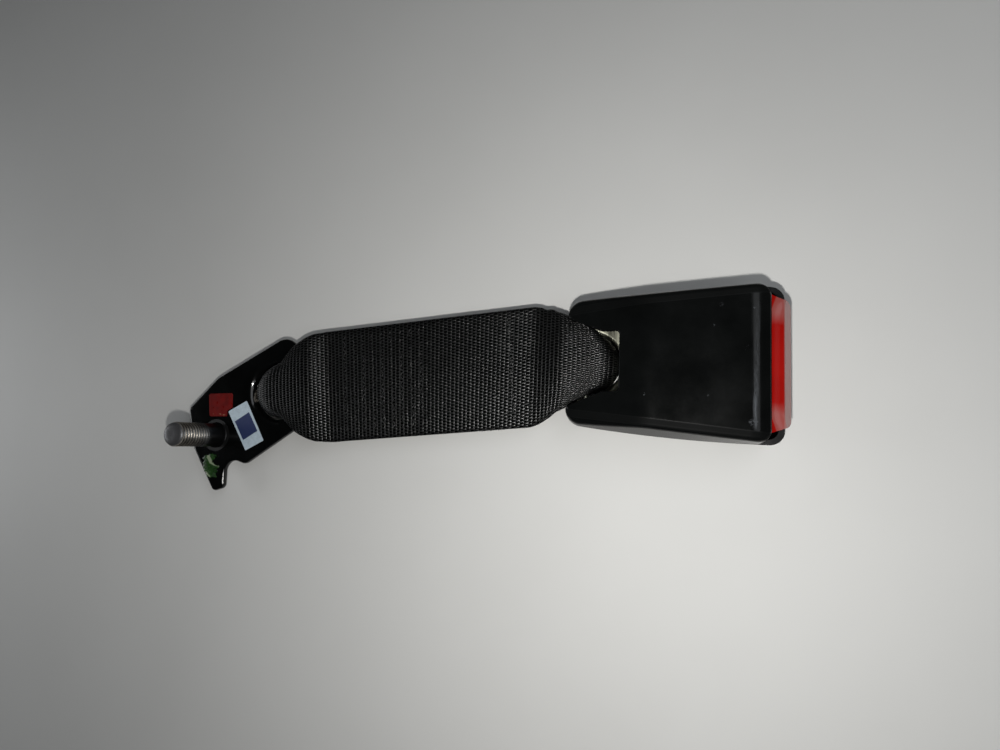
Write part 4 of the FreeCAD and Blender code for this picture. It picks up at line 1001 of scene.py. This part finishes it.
# ------------------------------------------------------------------ finishes on the CAD pieces
finishes = {
    "front_cover": front_plastic(),
    "rear_cover": black_plastic("rear_plastic", 0.0030, 0.22, 0.6),
    "press_button": red_plastic(),
    "buckle_frame": steel("zinc_plate", (0.62, 0.62, 0.50), 0.30, (300.0, 40.0, 300.0), 0.35, (0.30, 0.27, 0.18)),
    "latch_plate": steel("latch_steel", (0.55, 0.55, 0.54), 0.28, (40.0, 700.0, 300.0)),
    "latch_pin": steel("pin_steel", (0.62, 0.62, 0.62), 0.2, (900.0, 60.0, 900.0)),
    "latch_spring": steel("leaf_steel", (0.40, 0.40, 0.42), 0.3, (60.0, 900.0, 300.0)),
    "ejector_spring": steel("wire_steel", (0.42, 0.42, 0.44), 0.25, (800.0, 800.0, 800.0)),
    "mechanism_carrier": grey_plastic("carrier_plastic", (0.30, 0.30, 0.29), 0.5),
    "mouth_guide": grey_plastic("guide_plastic", (0.02, 0.02, 0.021), 0.42),
    "ejector": grey_plastic("ejector_plastic", (0.55, 0.53, 0.46), 0.45),
    "anchor_plate": gloss_paint(),
    "bolt_retainer": grey_plastic("retainer_plastic", (0.002, 0.002, 0.0022), 0.5),
    "bolt_washer": steel("washer_steel", (0.10, 0.10, 0.105), 0.4, (500.0, 500.0, 500.0), 0.4, (0.02, 0.018, 0.015)),
    "red_label": red_label_material(),
    "white_label": white_label_material(),
}
finishes["button_springs"] = finishes["ejector_spring"]
for name, mat in finishes.items():
    o = nodes[name]
    if not o.data.materials:
        o.data.materials.append(mat)
    for i in range(len(o.material_slots)):
        o.material_slots[i].material = mat

# ------------------------------------------------------------------ floor, lights, camera
me = bpy.data.meshes.new("floor")
zf = Z_TABLE * MM - 0.00005
me.from_pydata([(-2.5, -2.5, zf), (2.9, -2.5, zf), (2.9, 2.5, zf), (-2.5, 2.5, zf)], [], [(0, 1, 2, 3)])
me.materials.append(floor_material())
floor = bpy.data.objects.new("floor", me)
bpy.context.scene.collection.objects.link(floor)


def area_light(name, loc, target, size, power, colour, size_y=None, shape="DISK"):
    d = bpy.data.lights.new(name, "AREA")
    d.shape = shape
    d.size = size
    if size_y:
        d.shape = "RECTANGLE"
        d.size_y = size_y
    d.energy = power
    d.color = colour
    o = bpy.data.objects.new(name, d)
    o.location = loc
    o.rotation_mode = "QUATERNION"
    o.rotation_quaternion = (Vector(target) - Vector(loc)).to_track_quat("-Z", "Y")
    bpy.context.scene.collection.objects.link(o)
    return o


area_light("key", (0.1844, -0.0308, 0.2276), (0.22, 0.0, 0.0), 0.010, 0.48, (1.0, 0.985, 0.955))
area_light("fill_left", (-0.36, 0.0, 0.14), (0.02, 0.02, 0.0), 0.2, 0.34, (0.96, 0.98, 1.0))
area_light("side_right", (0.58, 0.10, 0.58), (0.2, 0.0, 0.0), 0.9, 1.6, (0.93, 0.96, 1.0), size_y=0.30)

world = bpy.data.worlds.new("studio")
bpy.context.scene.world = world
world.use_nodes = True
wt = world.node_tree
wt.nodes.clear()
wo = wt.nodes.new("ShaderNodeOutputWorld")
bg = wt.nodes.new("ShaderNodeBackground")
tc = wt.nodes.new("ShaderNodeTexCoord")
sx = wt.nodes.new("ShaderNodeSeparateXYZ")
cr = wt.nodes.new("ShaderNodeValToRGB")
wt.links.new(tc.outputs["Generated"], sx.inputs[0])
wt.links.new(sx.outputs[2], cr.inputs[0])
el = cr.color_ramp.elements
el[0].position = 0.0
el[0].color = (0.045, 0.046, 0.048, 1)
el[1].position = 0.75
el[1].color = (0.006, 0.0065, 0.007, 1)
e = el.new(0.45)
e.color = (0.018, 0.019, 0.020, 1)
wt.links.new(cr.outputs[0], bg.inputs[0])
bg.inputs[1].default_value = 1.0
wt.links.new(bg.outputs[0], wo.inputs[0])

cam_data = bpy.data.cameras.new("camera")
cam_data.sensor_width = 36.0
cam_data.lens = 21.96
cam_data.clip_start = 0.01
cam_data.clip_end = 20.0
cam = bpy.data.objects.new("camera", cam_data)
bpy.context.scene.collection.objects.link(cam)
right = Vector((0.966688, 0.043897, -0.252164))
down = Vector((0.016349, -0.993761, -0.110322))
fwd = Vector((-0.255434, 0.102524, -0.961375))
rot = Matrix((right, -down, -fwd)).transposed().to_4x4()
cam.matrix_world = Matrix.Translation((0.189648, 0.004224, 0.230)) @ rot
bpy.context.scene.camera = cam
bpy.context.scene.view_settings.view_transform = "Standard"
bpy.context.scene.view_settings.look = "None"
